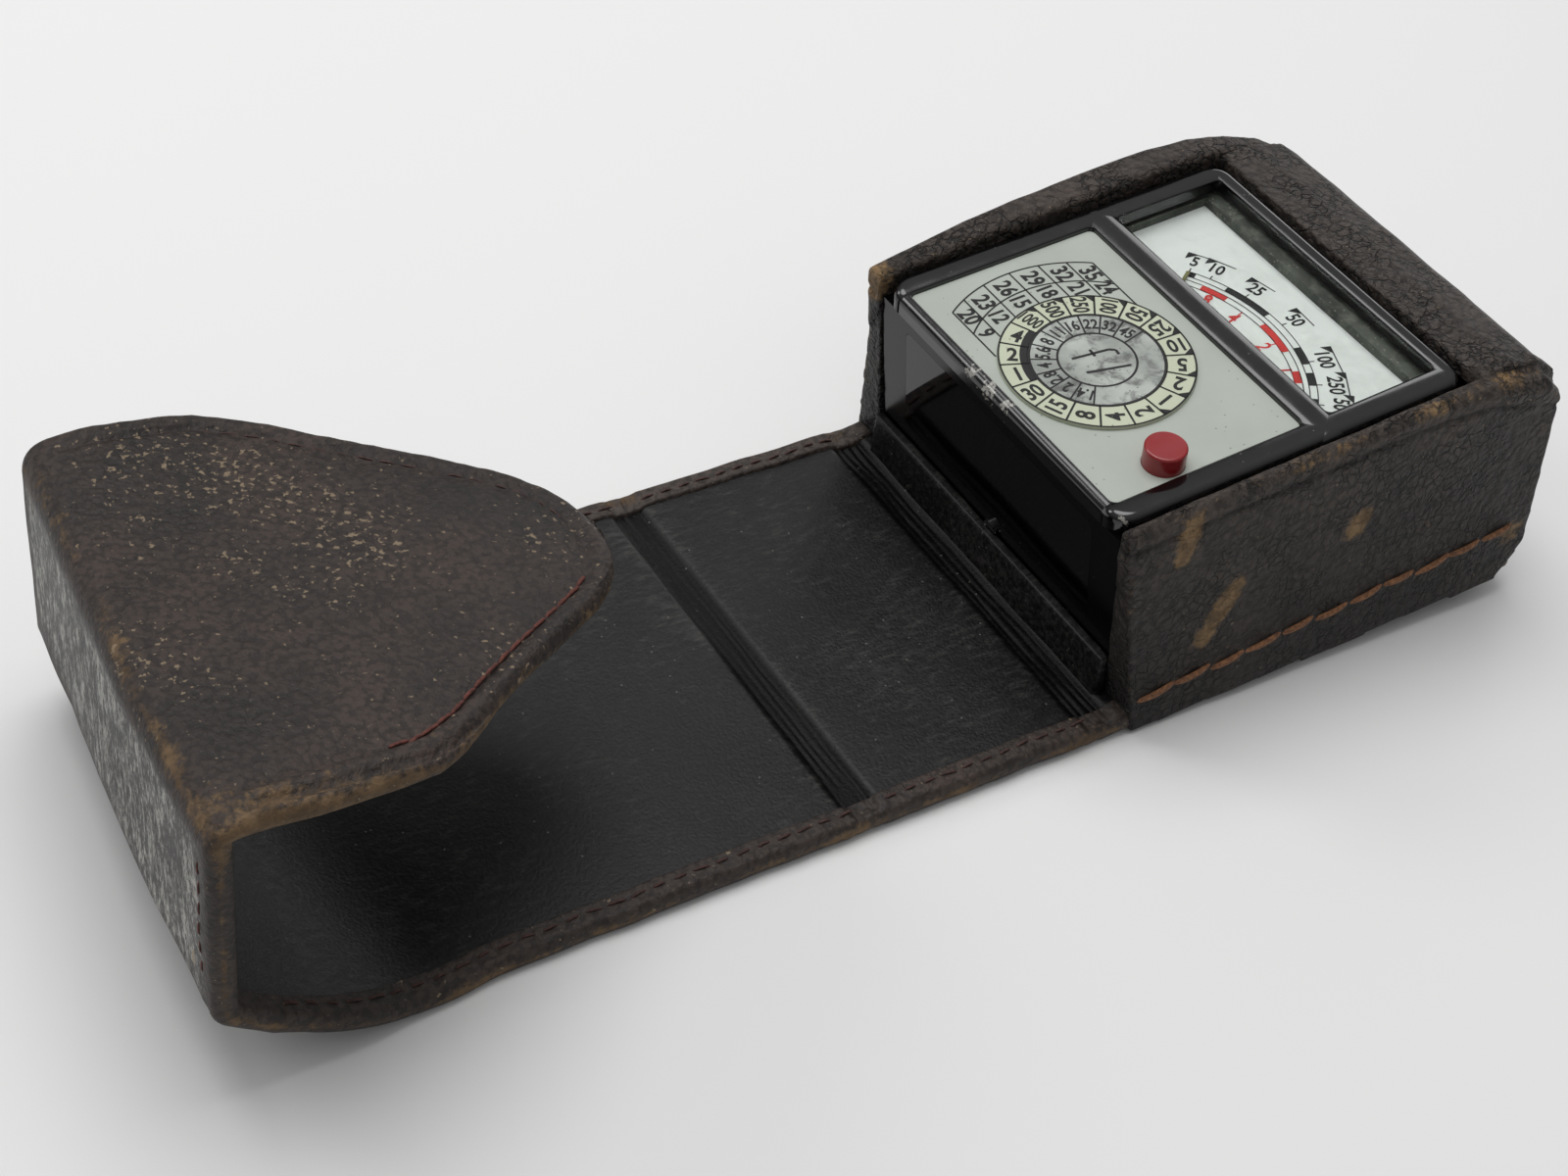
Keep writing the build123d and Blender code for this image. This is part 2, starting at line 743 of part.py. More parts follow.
coil_outer = magnet_inner - coil_gap
coil_inner = core_radius + coil_gap
coil_top = -magnet_top + coil_over
coil_tall = magnet_height + 2 * coil_over
coil_plane = Plane(
    origin=movement.from_local_coords(Vector(0, 0, coil_top - coil_tall / 2)),
    x_dir=deck_x * cos(radians(needle_angle)) + Vector(0, 1, 0) * sin(radians(needle_angle)),
    z_dir=deck_x * sin(radians(needle_angle)) - Vector(0, 1, 0) * cos(radians(needle_angle)),
)
with BuildPart() as coil:
    with BuildSketch(coil_plane):
        Rectangle(2 * coil_outer, coil_tall)
        Rectangle(2 * coil_inner, coil_tall - 1.4, mode=Mode.SUBTRACT)
    extrude(amount=0.9, both=True)
pieces["moving_coil"] = coil

staff_top = -needle_depth + 0.6
lower_bridge_top = coil_top - coil_tall - 1.6
with BuildPart() as staff:
    for start, end in (
        (coil_top, staff_top),
        (lower_bridge_top + 0.1, coil_top - coil_tall),
    ):
        with BuildSketch(movement.offset(start)):
            Circle(staff_radius)
        extrude(amount=end - start)
pieces["pivot_staff"] = staff

with BuildPart() as needle:
    with BuildSketch(movement.offset(-needle_depth)):
        Circle(1.3)
        Circle(staff_radius, mode=Mode.SUBTRACT)
        with Locations(Location((0, 0, 0), needle_angle)):
            with Locations((1.1 + (needle_length - 1.1) / 2, 0)):
                Rectangle(needle_length - 1.1, 0.5)
            with Locations((-2.4, 0)):
                Rectangle(2.6, 0.8)
            with Locations((-4.4, 0)):
                Rectangle(1.6, 3.0)
    extrude(amount=0.25)
pieces["needle"] = needle

bridge_length = 2 * magnet_outer
for name, top, hole in (
    ("upper_bridge", -bridge_top, 1.2),
    ("lower_bridge", lower_bridge_top, 0),
):
    with BuildPart() as bridge:
        with BuildSketch(movement.offset(top)):
            Rectangle(4.4, bridge_length)
            if hole:
                Circle(hole, mode=Mode.SUBTRACT)
        extrude(amount=-bridge_thickness)
    pieces[name] = bridge

with BuildPart() as jewel:
    with BuildSketch(movement.offset(-bridge_top)):
        Circle(1.2)
        Circle(staff_radius + running, mode=Mode.SUBTRACT)
    extrude(amount=-bridge_thickness)
pieces["upper_jewel"] = jewel

post_y = magnet_outer - 1.6
with BuildPart() as bridge_posts:
    for start, end in (
        (-bridge_top - bridge_thickness, -magnet_top),
        (magnet_bottom, lower_bridge_top),
    ):
        with BuildSketch(movement.offset(start)):
            with Locations((0, post_y), (0, -post_y)):
                Circle(1.4)
        extrude(amount=end - start)
pieces["bridge_posts"] = bridge_posts

hair_width = 0.15
hair_start = 0.8
hair_gap = 0.25
with BuildPart() as hairsprings:
    for height in (coil_top + 0.5, coil_top - coil_tall - 0.8):
        with BuildSketch(movement.offset(height)):
            with BuildLine():
                for turn in range(4):
                    shift = hair_gap * (turn % 2)
                    radius = staff_radius + hair_start + hair_gap * turn
                    CenterArc((shift, 0), radius, 180 * (turn % 2), 180)
            trace(line_width=hair_width)
        extrude(amount=0.3)
pieces["hairsprings"] = hairsprings

# ---- supports, resistor and fixings ----------------------------------------------------
with BuildPart() as movement_base:
    with BuildSketch(movement.offset(lower_bridge_top - bridge_thickness)):
        Rectangle(16, bridge_length + 6)
    extrude(amount=-1.2)
    with BuildSketch(movement.offset(lower_bridge_top - bridge_thickness)):
        with Locations((0, bridge_length / 2 + 2), (0, -bridge_length / 2 - 2)):
            Rectangle(6, 2)
    extrude(amount=-scale_depth - lower_bridge_top + bridge_thickness)
pieces["movement_base"] = movement_base

with BuildPart() as resistor:
    seat_z = terminal_stand + resistor_radius + 2 * running - terminal_depth
    start = deck_point(terminal_x, -resistor_length / 2, seat_z)
    with BuildSketch(Plane(origin=start, x_dir=deck_x, z_dir=(0, 1, 0))):
        Circle(resistor_radius)
    extrude(amount=resistor_length)
pieces["range_resistor"] = resistor

with BuildPart() as terminal_board:
    post_y = (resistor_length + 3) / 2
    with BuildSketch(deck.offset(-terminal_depth)):
        with Locations((terminal_x, 0)):
            Rectangle(terminal_length, terminal_width)
    extrude(amount=-terminal_thickness)
    with BuildSketch(deck.offset(-terminal_depth)):
        with Locations((terminal_x, -post_y), (terminal_x, post_y)):
            Rectangle(3, 3)
    extrude(amount=terminal_stand)
pieces["terminal_board"] = terminal_board

with BuildPart() as case_screws:
    with BuildSketch(deck.offset(-meter_depth + 2.2)):
        with Locations((screw_x, 0), (screw_front, 0)):
            Circle(screw_radius)
    extrude(amount=-3)
pieces["case_screws"] = case_screws

# ---- write every piece -----------------------------------------------------------------
for name, piece in pieces.items():
    piece.part.label = name
    export_step(piece.part, f"parts/{name}.step")
    box = piece.part.bounding_box()
    print(f"{name:20s} {len(piece.part.solids())} x {box.min} .. {box.max}")
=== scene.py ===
# %% [markdown]
# # An exposure meter in its opened leather case
# The CAD model gives the exact frame: joints, housing, dial, button and movement. This script
# dresses it. The leather is rebuilt as soft pieces, each spanning one fold, the dials get
# their printed scales, and every piece gets a procedural material.

# %% Load the CAD model
import json
import math

import bmesh
import bpy
import numpy as np
from mathutils import Matrix, Vector, noise


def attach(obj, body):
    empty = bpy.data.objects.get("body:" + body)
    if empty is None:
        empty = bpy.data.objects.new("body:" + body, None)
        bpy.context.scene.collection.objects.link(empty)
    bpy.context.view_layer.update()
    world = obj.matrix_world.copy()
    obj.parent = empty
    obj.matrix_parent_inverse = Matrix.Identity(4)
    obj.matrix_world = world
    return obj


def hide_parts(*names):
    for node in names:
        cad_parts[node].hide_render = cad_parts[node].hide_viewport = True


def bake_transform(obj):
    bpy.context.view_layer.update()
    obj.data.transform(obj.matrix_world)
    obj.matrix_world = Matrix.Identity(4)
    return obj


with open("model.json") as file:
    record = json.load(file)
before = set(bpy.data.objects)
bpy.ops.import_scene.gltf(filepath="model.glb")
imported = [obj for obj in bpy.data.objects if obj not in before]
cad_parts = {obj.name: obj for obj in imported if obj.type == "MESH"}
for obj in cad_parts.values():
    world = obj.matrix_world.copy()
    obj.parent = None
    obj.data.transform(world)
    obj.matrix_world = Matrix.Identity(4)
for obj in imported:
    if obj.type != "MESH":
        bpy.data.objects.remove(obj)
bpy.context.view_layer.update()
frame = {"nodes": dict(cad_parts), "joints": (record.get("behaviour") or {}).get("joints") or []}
joint = {j["name"]: j for j in frame["joints"]}
node = frame["nodes"]
MM = 0.001
print("CAD nodes:", len(node), "joints:", sorted(joint))

# %% [markdown]
# ## Measuring in two sets of axes
# The strip of leather lies on the ground, but the meter leans a little. Everything on its face
# is easiest to place in deck axes: the origin at the dial's centre, X towards the window, Z out
# of the face. Both come from the dial's joint, so they follow the CAD.

# %% Deck axes and small helpers
dial = Vector(joint["dial_turn"]["pos_m"])
deck_up = Vector(joint["dial_turn"]["axis"]).normalized()
deck_x = Vector((deck_up.z, 0, -deck_up.x))
DECK = Matrix((
    (deck_x.x, 0, deck_up.x, dial.x),
    (0, 1, 0, dial.y),
    (deck_x.z, 0, deck_up.z, dial.z),
    (0, 0, 0, 1),
))


def deck(x, y, z):
    """A point in millimetres in deck axes, as a point in the row frame."""
    return DECK @ Vector((x * MM, y * MM, z * MM))


def linked(name, data):
    """A new object that holds the data, in the scene."""
    made = bpy.data.objects.new(name, data)
    bpy.context.scene.collection.objects.link(made)
    return made


def mesh_object(name, verts, faces, material=None, smooth=True):
    """A new object from points in metres in the row frame."""
    mesh = bpy.data.meshes.new(name)
    mesh.from_pydata([tuple(v) for v in verts], [], [tuple(f) for f in faces])
    mesh.validate()
    if smooth:
        mesh.polygons.foreach_set("use_smooth", [True] * len(mesh.polygons))
    if material:
        mesh.materials.append(material)
    return linked(name, mesh)


def set_attribute(made, name, values):
    """A number per vertex, which the materials read by name."""
    layer = made.data.attributes.new(name, "FLOAT", "POINT")
    layer.data.foreach_set("value", np.asarray(values, np.float32))


def evaluated_mesh(made):
    """The object's mesh with its modifiers applied."""
    graph = bpy.context.evaluated_depsgraph_get()
    return bpy.data.meshes.new_from_object(made.evaluated_get(graph))


def corners(made, field="co"):
    """The object's vertices in metres, or their normals, as an array."""
    rows = np.empty(len(made.data.vertices) * 3)
    made.data.vertices.foreach_get(field, rows)
    return rows.reshape(-1, 3)


print("dial centre", [round(v, 4) for v in dial], "leans", round(math.degrees(math.acos(deck_up.z)), 2))

# %% [markdown]
# ## Shader node groups
# Three effects come back in several materials: fine pebbled grain, rubbed edges and dust. Each is
# one node group with named inputs. A group gives back only a value, and the material decides what
# to do with it.


# %% Build the shared groups
def new_group(name, inputs, outputs):
    """An empty shader group with float or vector sockets."""
    tree = bpy.data.node_groups.new(name, "ShaderNodeTree")
    for label, kind, value in inputs:
        socket = tree.interface.new_socket(label, in_out="INPUT", socket_type=kind)
        if value is not None:
            socket.default_value = value
    for label, kind in outputs:
        tree.interface.new_socket(label, in_out="OUTPUT", socket_type=kind)
    start = tree.nodes.new("NodeGroupInput")
    end = tree.nodes.new("NodeGroupOutput")
    return tree, start, end


def feed(tree, socket, value):
    """Links another node's output to the socket, or sets the socket's own value."""
    if isinstance(value, bpy.types.NodeSocket):
        tree.links.new(value, socket)
    else:
        socket.default_value = value


def add_node(tree, kind, links=(), **values):
    """A node with its inputs linked or set by name; other values are node properties."""
    made = tree.nodes.new(kind)
    for key, value in values.items():
        setattr(made, key, value)
    for label, value in dict(links).items():
        feed(tree, made.inputs[label], value)
    return made


def math_node(tree, operation, a, b=0.0, clamp=False):
    return add_node(tree, "ShaderNodeMath", {0: a, 1: b}, operation=operation, use_clamp=clamp).outputs[0]


def vector_node(tree, operation, a, b):
    made = add_node(tree, "ShaderNodeVectorMath", {0: a, 1: b}, operation=operation)
    return made.outputs["Value" if operation in ("DOT_PRODUCT", "DISTANCE") else "Vector"]


def map_range(tree, value, low, high, to_low=0.0, to_high=1.0):
    made = add_node(tree, "ShaderNodeMapRange", {"Value": value, "From Min": low, "From Max": high,
                                                 "To Min": to_low, "To Max": to_high},
                    interpolation_type="SMOOTHSTEP")
    return made.outputs["Result"]


def noise_value(tree, vector, scale, detail=3.0, rough=0.55, distortion=0.0):
    made = add_node(tree, "ShaderNodeTexNoise", {"Vector": vector, "Scale": scale, "Detail": detail,
                                                 "Roughness": rough, "Distortion": distortion})
    return made.outputs["Fac"]


def mix_colour(tree, mask, a, b):
    """Colour a where the mask is 0, and b where it is 1."""
    return add_node(tree, "ShaderNodeMix", {0: mask, 6: a, 7: b}, data_type="RGBA").outputs[2]


def lay_over(tree, base, mask, strength, colour):
    """The base with another colour laid over it where the mask is high."""
    return mix_colour(tree, math_node(tree, "MULTIPLY", mask, strength), base, colour)


# Pebbled grain: rounded cells of two sizes with fine creases between them.
grain_group, start, end = new_group(
    "leather_grain",
    [("Vector", "NodeSocketVector", None), ("Size", "NodeSocketFloat", 1500.0)],
    [("Height", "NodeSocketFloat"), ("Crease", "NodeSocketFloat")],
)
warp = add_node(grain_group, "ShaderNodeTexNoise", {"Vector": start.outputs["Vector"], "Scale": 700.0})
shift = vector_node(grain_group, "MULTIPLY", warp.outputs["Color"], (0.0006,) * 3)
moved = vector_node(grain_group, "ADD", start.outputs["Vector"], shift)
cells = add_node(grain_group, "ShaderNodeTexVoronoi", {"Vector": moved, "Scale": start.outputs["Size"]},
                 feature="SMOOTH_F1")
fine = math_node(grain_group, "MULTIPLY", start.outputs["Size"], 2.3)
fine_noise = noise_value(grain_group, moved, fine, 4.0, 0.65)
pebble = map_range(grain_group, cells.outputs["Distance"], 0.1, 0.8, 1.0, 0.0)
height = math_node(grain_group, "ADD", math_node(grain_group, "MULTIPLY", pebble, 0.6),
                   math_node(grain_group, "MULTIPLY", fine_noise, 0.8))
grain_group.links.new(height, end.inputs["Height"])
grain_group.links.new(map_range(grain_group, height, 0.52, 0.86, 1.0, 0.0), end.inputs["Crease"])

# Rubbed edges: strongest at the edge itself, broken up by noise.
wear_group, start, end = new_group(
    "edge_wear",
    [("Vector", "NodeSocketVector", None), ("Distance", "NodeSocketFloat", 10.0),
     ("Reach", "NodeSocketFloat", 1.6), ("Amount", "NodeSocketFloat", 0.5),
     ("Patches", "NodeSocketFloat", 0.0)],
    [("Mask", "NodeSocketFloat")],
)
near = math_node(wear_group, "DIVIDE", start.outputs["Distance"], start.outputs["Reach"])
near = math_node(wear_group, "POWER", math.e, math_node(wear_group, "MULTIPLY", near, -1.0))
broad = noise_value(wear_group, start.outputs["Vector"], 110.0, 3.0, 0.6)
tight = noise_value(wear_group, start.outputs["Vector"], 900.0, 4.0, 0.7)
rough_sum = math_node(wear_group, "ADD", math_node(wear_group, "MULTIPLY", broad, 1.0),
                      math_node(wear_group, "MULTIPLY", tight, 1.1))
level = math_node(wear_group, "ADD", math_node(wear_group, "MULTIPLY", near, start.outputs["Amount"]),
                  start.outputs["Patches"])
total = math_node(wear_group, "ADD", level, math_node(wear_group, "SUBTRACT", rough_sum, 1.05))
wear_group.links.new(map_range(wear_group, total, 0.36, 0.72), end.inputs["Mask"])

# Dust: sparse pale specks, more of them where the low noise is high.
dust_group, start, end = new_group(
    "dust",
    [("Vector", "NodeSocketVector", None), ("Density", "NodeSocketFloat", 0.5),
     ("Size", "NodeSocketFloat", 1400.0)],
    [("Mask", "NodeSocketFloat")],
)
specks = add_node(dust_group, "ShaderNodeTexVoronoi", {"Vector": start.outputs["Vector"],
                                                       "Scale": start.outputs["Size"]})
speck_far = math_node(dust_group, "SUBTRACT", 1.0, specks.outputs["Distance"])
cell_pick = add_node(dust_group, "ShaderNodeSeparateColor", {"Color": specks.outputs["Color"]})
patchy = noise_value(dust_group, start.outputs["Vector"], 130.0, 2.0)
keep = math_node(dust_group, "GREATER_THAN",
                 math_node(dust_group, "MULTIPLY", start.outputs["Density"],
                           map_range(dust_group, patchy, 0.35, 0.7)),
                 cell_pick.outputs["Red"])
spot = map_range(dust_group, speck_far, 0.72, 0.86)
dust_group.links.new(math_node(dust_group, "MULTIPLY", spot, keep), end.inputs["Mask"])
print("groups:", [g.name for g in (grain_group, wear_group, dust_group)])


# %% [markdown]
# ## Materials
# The leather reads numbers kept on every vertex: `edge` is the distance to the nearest edge in
# millimetres, `wear` how scuffed the place is, `fleck` how flaked, `tint` how much paler (the turned
# borders' own tone, and painted light on the wall rims and the hood), `shade` how much painted shade
# darkens it, and `fibre` is 1 where the worn face shows grey fibres with a painted sheen. One
# material then serves many pieces.


# %% Make the materials
def start_material(name):
    made = bpy.data.materials.new(name)
    made.use_nodes = True
    tree = made.node_tree
    shader = tree.nodes["Principled BSDF"]
    place = tree.nodes.new("ShaderNodeTexCoord").outputs["Object"]
    return made, tree, shader, place


def use_group(tree, group, links):
    return add_node(tree, "ShaderNodeGroup", links, node_tree=group)


def set_inputs(tree, shader, values):
    """Links or sets several inputs of a shader by name."""
    for label, value in values.items():
        feed(tree, shader.inputs[label], value)


def attribute(tree, name):
    return add_node(tree, "ShaderNodeAttribute", attribute_name=name).outputs["Fac"]


def bump(tree, shader, height, distance, strength=1.0, coat=False):
    made = add_node(tree, "ShaderNodeBump", {"Height": height, "Distance": distance, "Strength": strength})
    tree.links.new(made.outputs["Normal"], shader.inputs["Normal"])
    if coat:
        tree.links.new(made.outputs["Normal"], shader.inputs["Coat Normal"])


def rgba(r, g, b):
    return (r, g, b, 1.0)


def leather_material(name, dark, light, tan, rough, pebble=1250.0, depth=0.00018, crease=0.55, cracks=0.0):
    """Pebbled leather with rubbed edges, scuffs, painted light and shade and, where fibre is 1, a streaked
    worn face with a painted sheen.
    """
    made, tree, shader, place = start_material(name)
    grain = use_group(tree, grain_group, {"Vector": place, "Size": pebble})
    fibre = attribute(tree, "fibre")
    mask = use_group(tree, wear_group, {"Vector": place, "Distance": attribute(tree, "edge"), "Reach": 1.3,
                                        "Amount": 0.62, "Patches": attribute(tree, "wear")}).outputs["Mask"]
    broad = noise_value(tree, place, 60.0, 4.0, 0.6)
    base = mix_colour(tree, map_range(tree, broad, 0.3, 0.7), rgba(*dark), rgba(*light))
    # The paler brown is the turned borders' own tone on the strip, and painted light on the wall rims and
    # over the hood.
    base = lay_over(tree, base, attribute(tree, "tint"), 0.75, rgba(0.078, 0.058, 0.047))
    # Painted shade: the grain's creases are darkened towards near black.
    base = lay_over(tree, base, grain.outputs["Crease"], crease, rgba(0.006, 0.005, 0.0045))
    # Painted shade: darker towards near black where the shade attribute is high.
    base = mix_colour(tree, attribute(tree, "shade"), base, rgba(0.006, 0.005, 0.0048))
    # Fine dried-out cracks run between islands of grain, in patches.
    bend = add_node(tree, "ShaderNodeTexNoise", {"Vector": place, "Scale": 620.0, "Detail": 3.0})
    bend = vector_node(tree, "MULTIPLY", bend.outputs["Color"], (0.0024,) * 3)
    islands = add_node(tree, "ShaderNodeTexVoronoi",
                       {"Vector": vector_node(tree, "ADD", place, bend), "Scale": 560.0},
                       feature="DISTANCE_TO_EDGE")
    crack = map_range(tree, islands.outputs["Distance"], 0.01, 0.13, 1.0, 0.0)
    patches = map_range(tree, noise_value(tree, place, 140.0), 0.36, 0.58)
    crack = math_node(tree, "MULTIPLY", crack, patches)
    base = lay_over(tree, base, crack, cracks, rgba(0.007, 0.006, 0.005))
    # The worn face shows long grey fibres; their pale grey is partly their own colour and partly a painted
    # sheen.
    stretched = add_node(tree, "ShaderNodeMapping", {"Vector": place, "Scale": (1.0, 1.0, 0.28)})
    streak = noise_value(tree, stretched.outputs["Vector"], 2900.0, 4.0, 0.8)
    streak_low = noise_value(tree, stretched.outputs["Vector"], 800.0, 2.0, 0.6)
    streaks = math_node(tree, "ADD", streak, math_node(tree, "MULTIPLY", streak_low, 0.6))
    streaks = map_range(tree, streaks, 0.74, 0.94)
    grey = mix_colour(tree, streaks, rgba(0.040, 0.037, 0.036), rgba(0.46, 0.45, 0.42))
    base = mix_colour(tree, fibre, base, grey)
    # Rubbed places show the tan hide, and flaked ones are paler still.
    mottle = map_range(tree, noise_value(tree, place, 420.0, 3.0, 0.6), 0.35, 0.65)
    tans = mix_colour(tree, mottle, rgba(*tan), rgba(tan[0] * 1.9, tan[1] * 1.95, tan[2] * 2.0))
    base = lay_over(tree, base, mask, 0.85, tans)
    chip_noise = noise_value(tree, place, 1120.0, 3.0, 0.6)
    flaked = math_node(tree, "MULTIPLY", attribute(tree, "fleck"), 0.125)
    chip_sum = math_node(tree, "ADD", chip_noise, flaked)
    base = lay_over(tree, base, map_range(tree, chip_sum, 0.685, 0.725), 0.75, rgba(0.26, 0.195, 0.125))
    rough_map = map_range(tree, broad, 0.2, 0.8, rough - 0.06, rough + 0.08)
    matt = math_node(tree, "ADD", rough_map, math_node(tree, "MULTIPLY", mask, 0.18), clamp=True)
    set_inputs(tree, shader, {"Base Color": base, "Roughness": matt, "Specular IOR Level": 0.33})
    flattened = math_node(tree, "SUBTRACT", 1.0, math_node(tree, "MULTIPLY", fibre, 0.7))
    tall = math_node(tree, "MULTIPLY", grain.outputs["Height"], flattened)
    fibres = math_node(tree, "MULTIPLY", streaks, fibre)
    tall = math_node(tree, "ADD", tall, math_node(tree, "MULTIPLY", fibres, 0.5))
    tall = math_node(tree, "SUBTRACT", tall, math_node(tree, "MULTIPLY", crack, cracks * 0.8))
    bump(tree, shader, tall, depth, 0.95)
    return made


outer_leather = leather_material("outer_leather", (0.020, 0.0145, 0.0125), (0.050, 0.034, 0.028),
                                 (0.095, 0.058, 0.028), 0.52, crease=0.6, cracks=0.25)
wall_leather = leather_material("wall_leather", (0.030, 0.024, 0.021), (0.080, 0.064, 0.054),
                                (0.175, 0.108, 0.050), 0.46, 950.0, 0.00065, 0.55, 0.85)

lining_leather, tree, shader, place = start_material("lining_leather")
grain = use_group(tree, grain_group, {"Vector": place, "Size": 2300.0})
shade = attribute(tree, "shade")
long_way = add_node(tree, "ShaderNodeMapping",
                    {"Vector": place, "Rotation": (0, 0, 0.5), "Scale": (0.3, 1.0, 1.0)})
rubbed = noise_value(tree, long_way.outputs["Vector"], 1100.0, 5.0, 0.78)
cloudy = math_node(tree, "MULTIPLY", noise_value(tree, place, 55.0, 3.0, 0.6), 0.35)
worn = math_node(tree, "MULTIPLY", attribute(tree, "wear"), 0.5)
scuff = math_node(tree, "ADD", math_node(tree, "ADD", rubbed, cloudy), worn)
base = mix_colour(tree, map_range(tree, scuff, 0.66, 1.05), rgba(0.0035, 0.0034, 0.0034),
                  rgba(0.050, 0.047, 0.044))
# Painted shade: where the shade attribute is high the lining turns near black, and its specular level drops
# too.
base = mix_colour(tree, shade, base, rgba(0.0012, 0.0012, 0.0012))
dust = use_group(tree, dust_group, {"Vector": place, "Density": 0.05, "Size": 1500.0}).outputs["Mask"]
base = lay_over(tree, base, dust, 0.5, rgba(0.2, 0.19, 0.17))
set_inputs(tree, shader, {"Base Color": base, "Roughness": map_range(tree, rubbed, 0.3, 0.8, 0.38, 0.56),
                          "Specular IOR Level": map_range(tree, shade, 0.0, 1.0, 0.30, 0.10)})
bump(tree, shader, grain.outputs["Height"], 0.00005, 0.8)


def thread_material(name, dark, light):
    made, tree, shader, place = start_material(name)
    twist = noise_value(tree, place, 1800.0, 3.0, 0.6)
    strands = mix_colour(tree, map_range(tree, twist, 0.3, 0.7), rgba(*dark), rgba(*light))
    set_inputs(tree, shader, {"Base Color": strands, "Roughness": 0.75})
    bump(tree, shader, twist, 0.0002)
    return made


rust_thread = thread_material("rust_thread", (0.105, 0.043, 0.020), (0.29, 0.13, 0.055))
dark_thread = thread_material("dark_thread", (0.026, 0.012, 0.010), (0.066, 0.028, 0.022))
red_thread = thread_material("red_thread", (0.050, 0.012, 0.008), (0.135, 0.032, 0.020))


def plain_material(name, colour, rough, metallic=0.0, spec=0.5, coat=0.0, speck=0.0,
                   speck_colour=(0.1, 0.1, 0.1), rough_noise=0.05, grain_depth=0.0, blotch=0.06,
                   smudge=0.0, smudge_size=330.0, chips=()):
    """Paint, plastic or metal: slight blotches, a few specks, and roughness that isn't even."""
    made, tree, shader, place = start_material(name)
    broad = noise_value(tree, place, 90.0, 4.0, 0.6)
    darker = tuple(c * (1 - blotch) for c in colour)
    lighter = tuple(min(1.0, c * (1 + blotch)) for c in colour)
    base = mix_colour(tree, map_range(tree, broad, 0.3, 0.7), rgba(*darker), rgba(*lighter))
    if speck:
        dust = use_group(tree, dust_group, {"Vector": place, "Density": speck, "Size": 1500.0})
        base = lay_over(tree, base, dust.outputs["Mask"], 0.7, rgba(*speck_colour))
    if smudge:
        dirty = map_range(tree, noise_value(tree, place, smudge_size, 4.0, 0.65, 0.4), 0.46, 0.66)
        base = lay_over(tree, base, dirty, smudge, rgba(*speck_colour))
    for centre, radius in chips:
        away = vector_node(tree, "DISTANCE", place, tuple(centre))
        close = map_range(tree, away, 0.0, radius * MM, 0.35, 0.0)
        broken = math_node(tree, "ADD", close, noise_value(tree, place, 1400.0, 3.0, 0.65))
        base = mix_colour(tree, map_range(tree, broken, 0.74, 0.79), base, rgba(0.30, 0.29, 0.26))
    smear = map_range(tree, noise_value(tree, place, 260.0, 4.0, 0.65), 0.3, 0.75, rough, rough + rough_noise)
    set_inputs(tree, shader, {"Base Color": base, "Roughness": smear, "Metallic": metallic,
                              "Specular IOR Level": spec, "Coat Weight": coat})
    if grain_depth:
        bump(tree, shader, noise_value(tree, place, 2500.0, 3.0, 0.6), grain_depth)
    return made


chipped_edge = ((deck(-16.3, 6.5, 0.3), 2.6), (deck(-16.4, 2.5, 0.2), 3.6), (deck(-16.2, -1.5, 0.3), 2.4),
                (deck(-15.4, -26.6, 0.3), 2.0))
black_enamel = plain_material("black_enamel", (0.0022, 0.0022, 0.0026), 0.11, spec=0.6, coat=0.25, speck=0.05,
                              speck_colour=(0.10, 0.10, 0.09), rough_noise=0.10, chips=chipped_edge)
# The frame's bars are moulded with a rounded back, which shows as bent highlights.
tree, shader = black_enamel.node_tree, black_enamel.node_tree.nodes["Principled BSDF"]
place = tree.nodes.new("ShaderNodeTexCoord").outputs["Object"]
from_dial = vector_node(tree, "SUBTRACT", place, tuple(dial))
deck_across = vector_node(tree, "DOT_PRODUCT", from_dial, tuple(deck_x / MM))
deck_side = math_node(tree, "ABSOLUTE", vector_node(tree, "DOT_PRODUCT", from_dial, (0, 1 / MM, 0)))


def dome(value, centre, half):
    """1 along the middle of a bar, falling to 0 at its edges like half a circle."""
    part = math_node(tree, "DIVIDE", math_node(tree, "SUBTRACT", value, centre), half)
    part = math_node(tree, "SUBTRACT", 1.0, math_node(tree, "MULTIPLY", part, part), clamp=True)
    return math_node(tree, "SQRT", part)


domes = math_node(tree, "MAXIMUM", dome(deck_across, 18.5, 2.35), dome(deck_side, 25.7, 2.2))
domes = math_node(tree, "MAXIMUM", domes, dome(deck_across, 40.7, 1.8))
bump(tree, shader, domes, 0.0009, 0.8, coat=True)

shell_black = plain_material("shell_black", (0.0012, 0.0012, 0.0014), 0.15, spec=0.18, speck=0.02,
                             speck_colour=(0.06, 0.06, 0.06), rough_noise=0.05)
plate_paint = plain_material("plate_paint", (0.405, 0.437, 0.390), 0.38, spec=0.4, speck=0.10,
                             speck_colour=(0.16, 0.16, 0.13), blotch=0.035)
dial_paint = plain_material("dial_paint", (0.50, 0.535, 0.40), 0.36, spec=0.4, speck=0.10,
                            speck_colour=(0.15, 0.15, 0.10), blotch=0.05)
disc_metal = plain_material("disc_metal", (0.34, 0.36, 0.335), 0.40, metallic=0.35, spec=0.4, speck=0.5,
                            speck_colour=(0.07, 0.07, 0.065), blotch=0.35, rough_noise=0.15, smudge=0.75)
red_plastic = plain_material("red_plastic", (0.25, 0.006, 0.009), 0.28, spec=0.5, coat=0.3, rough_noise=0.1)
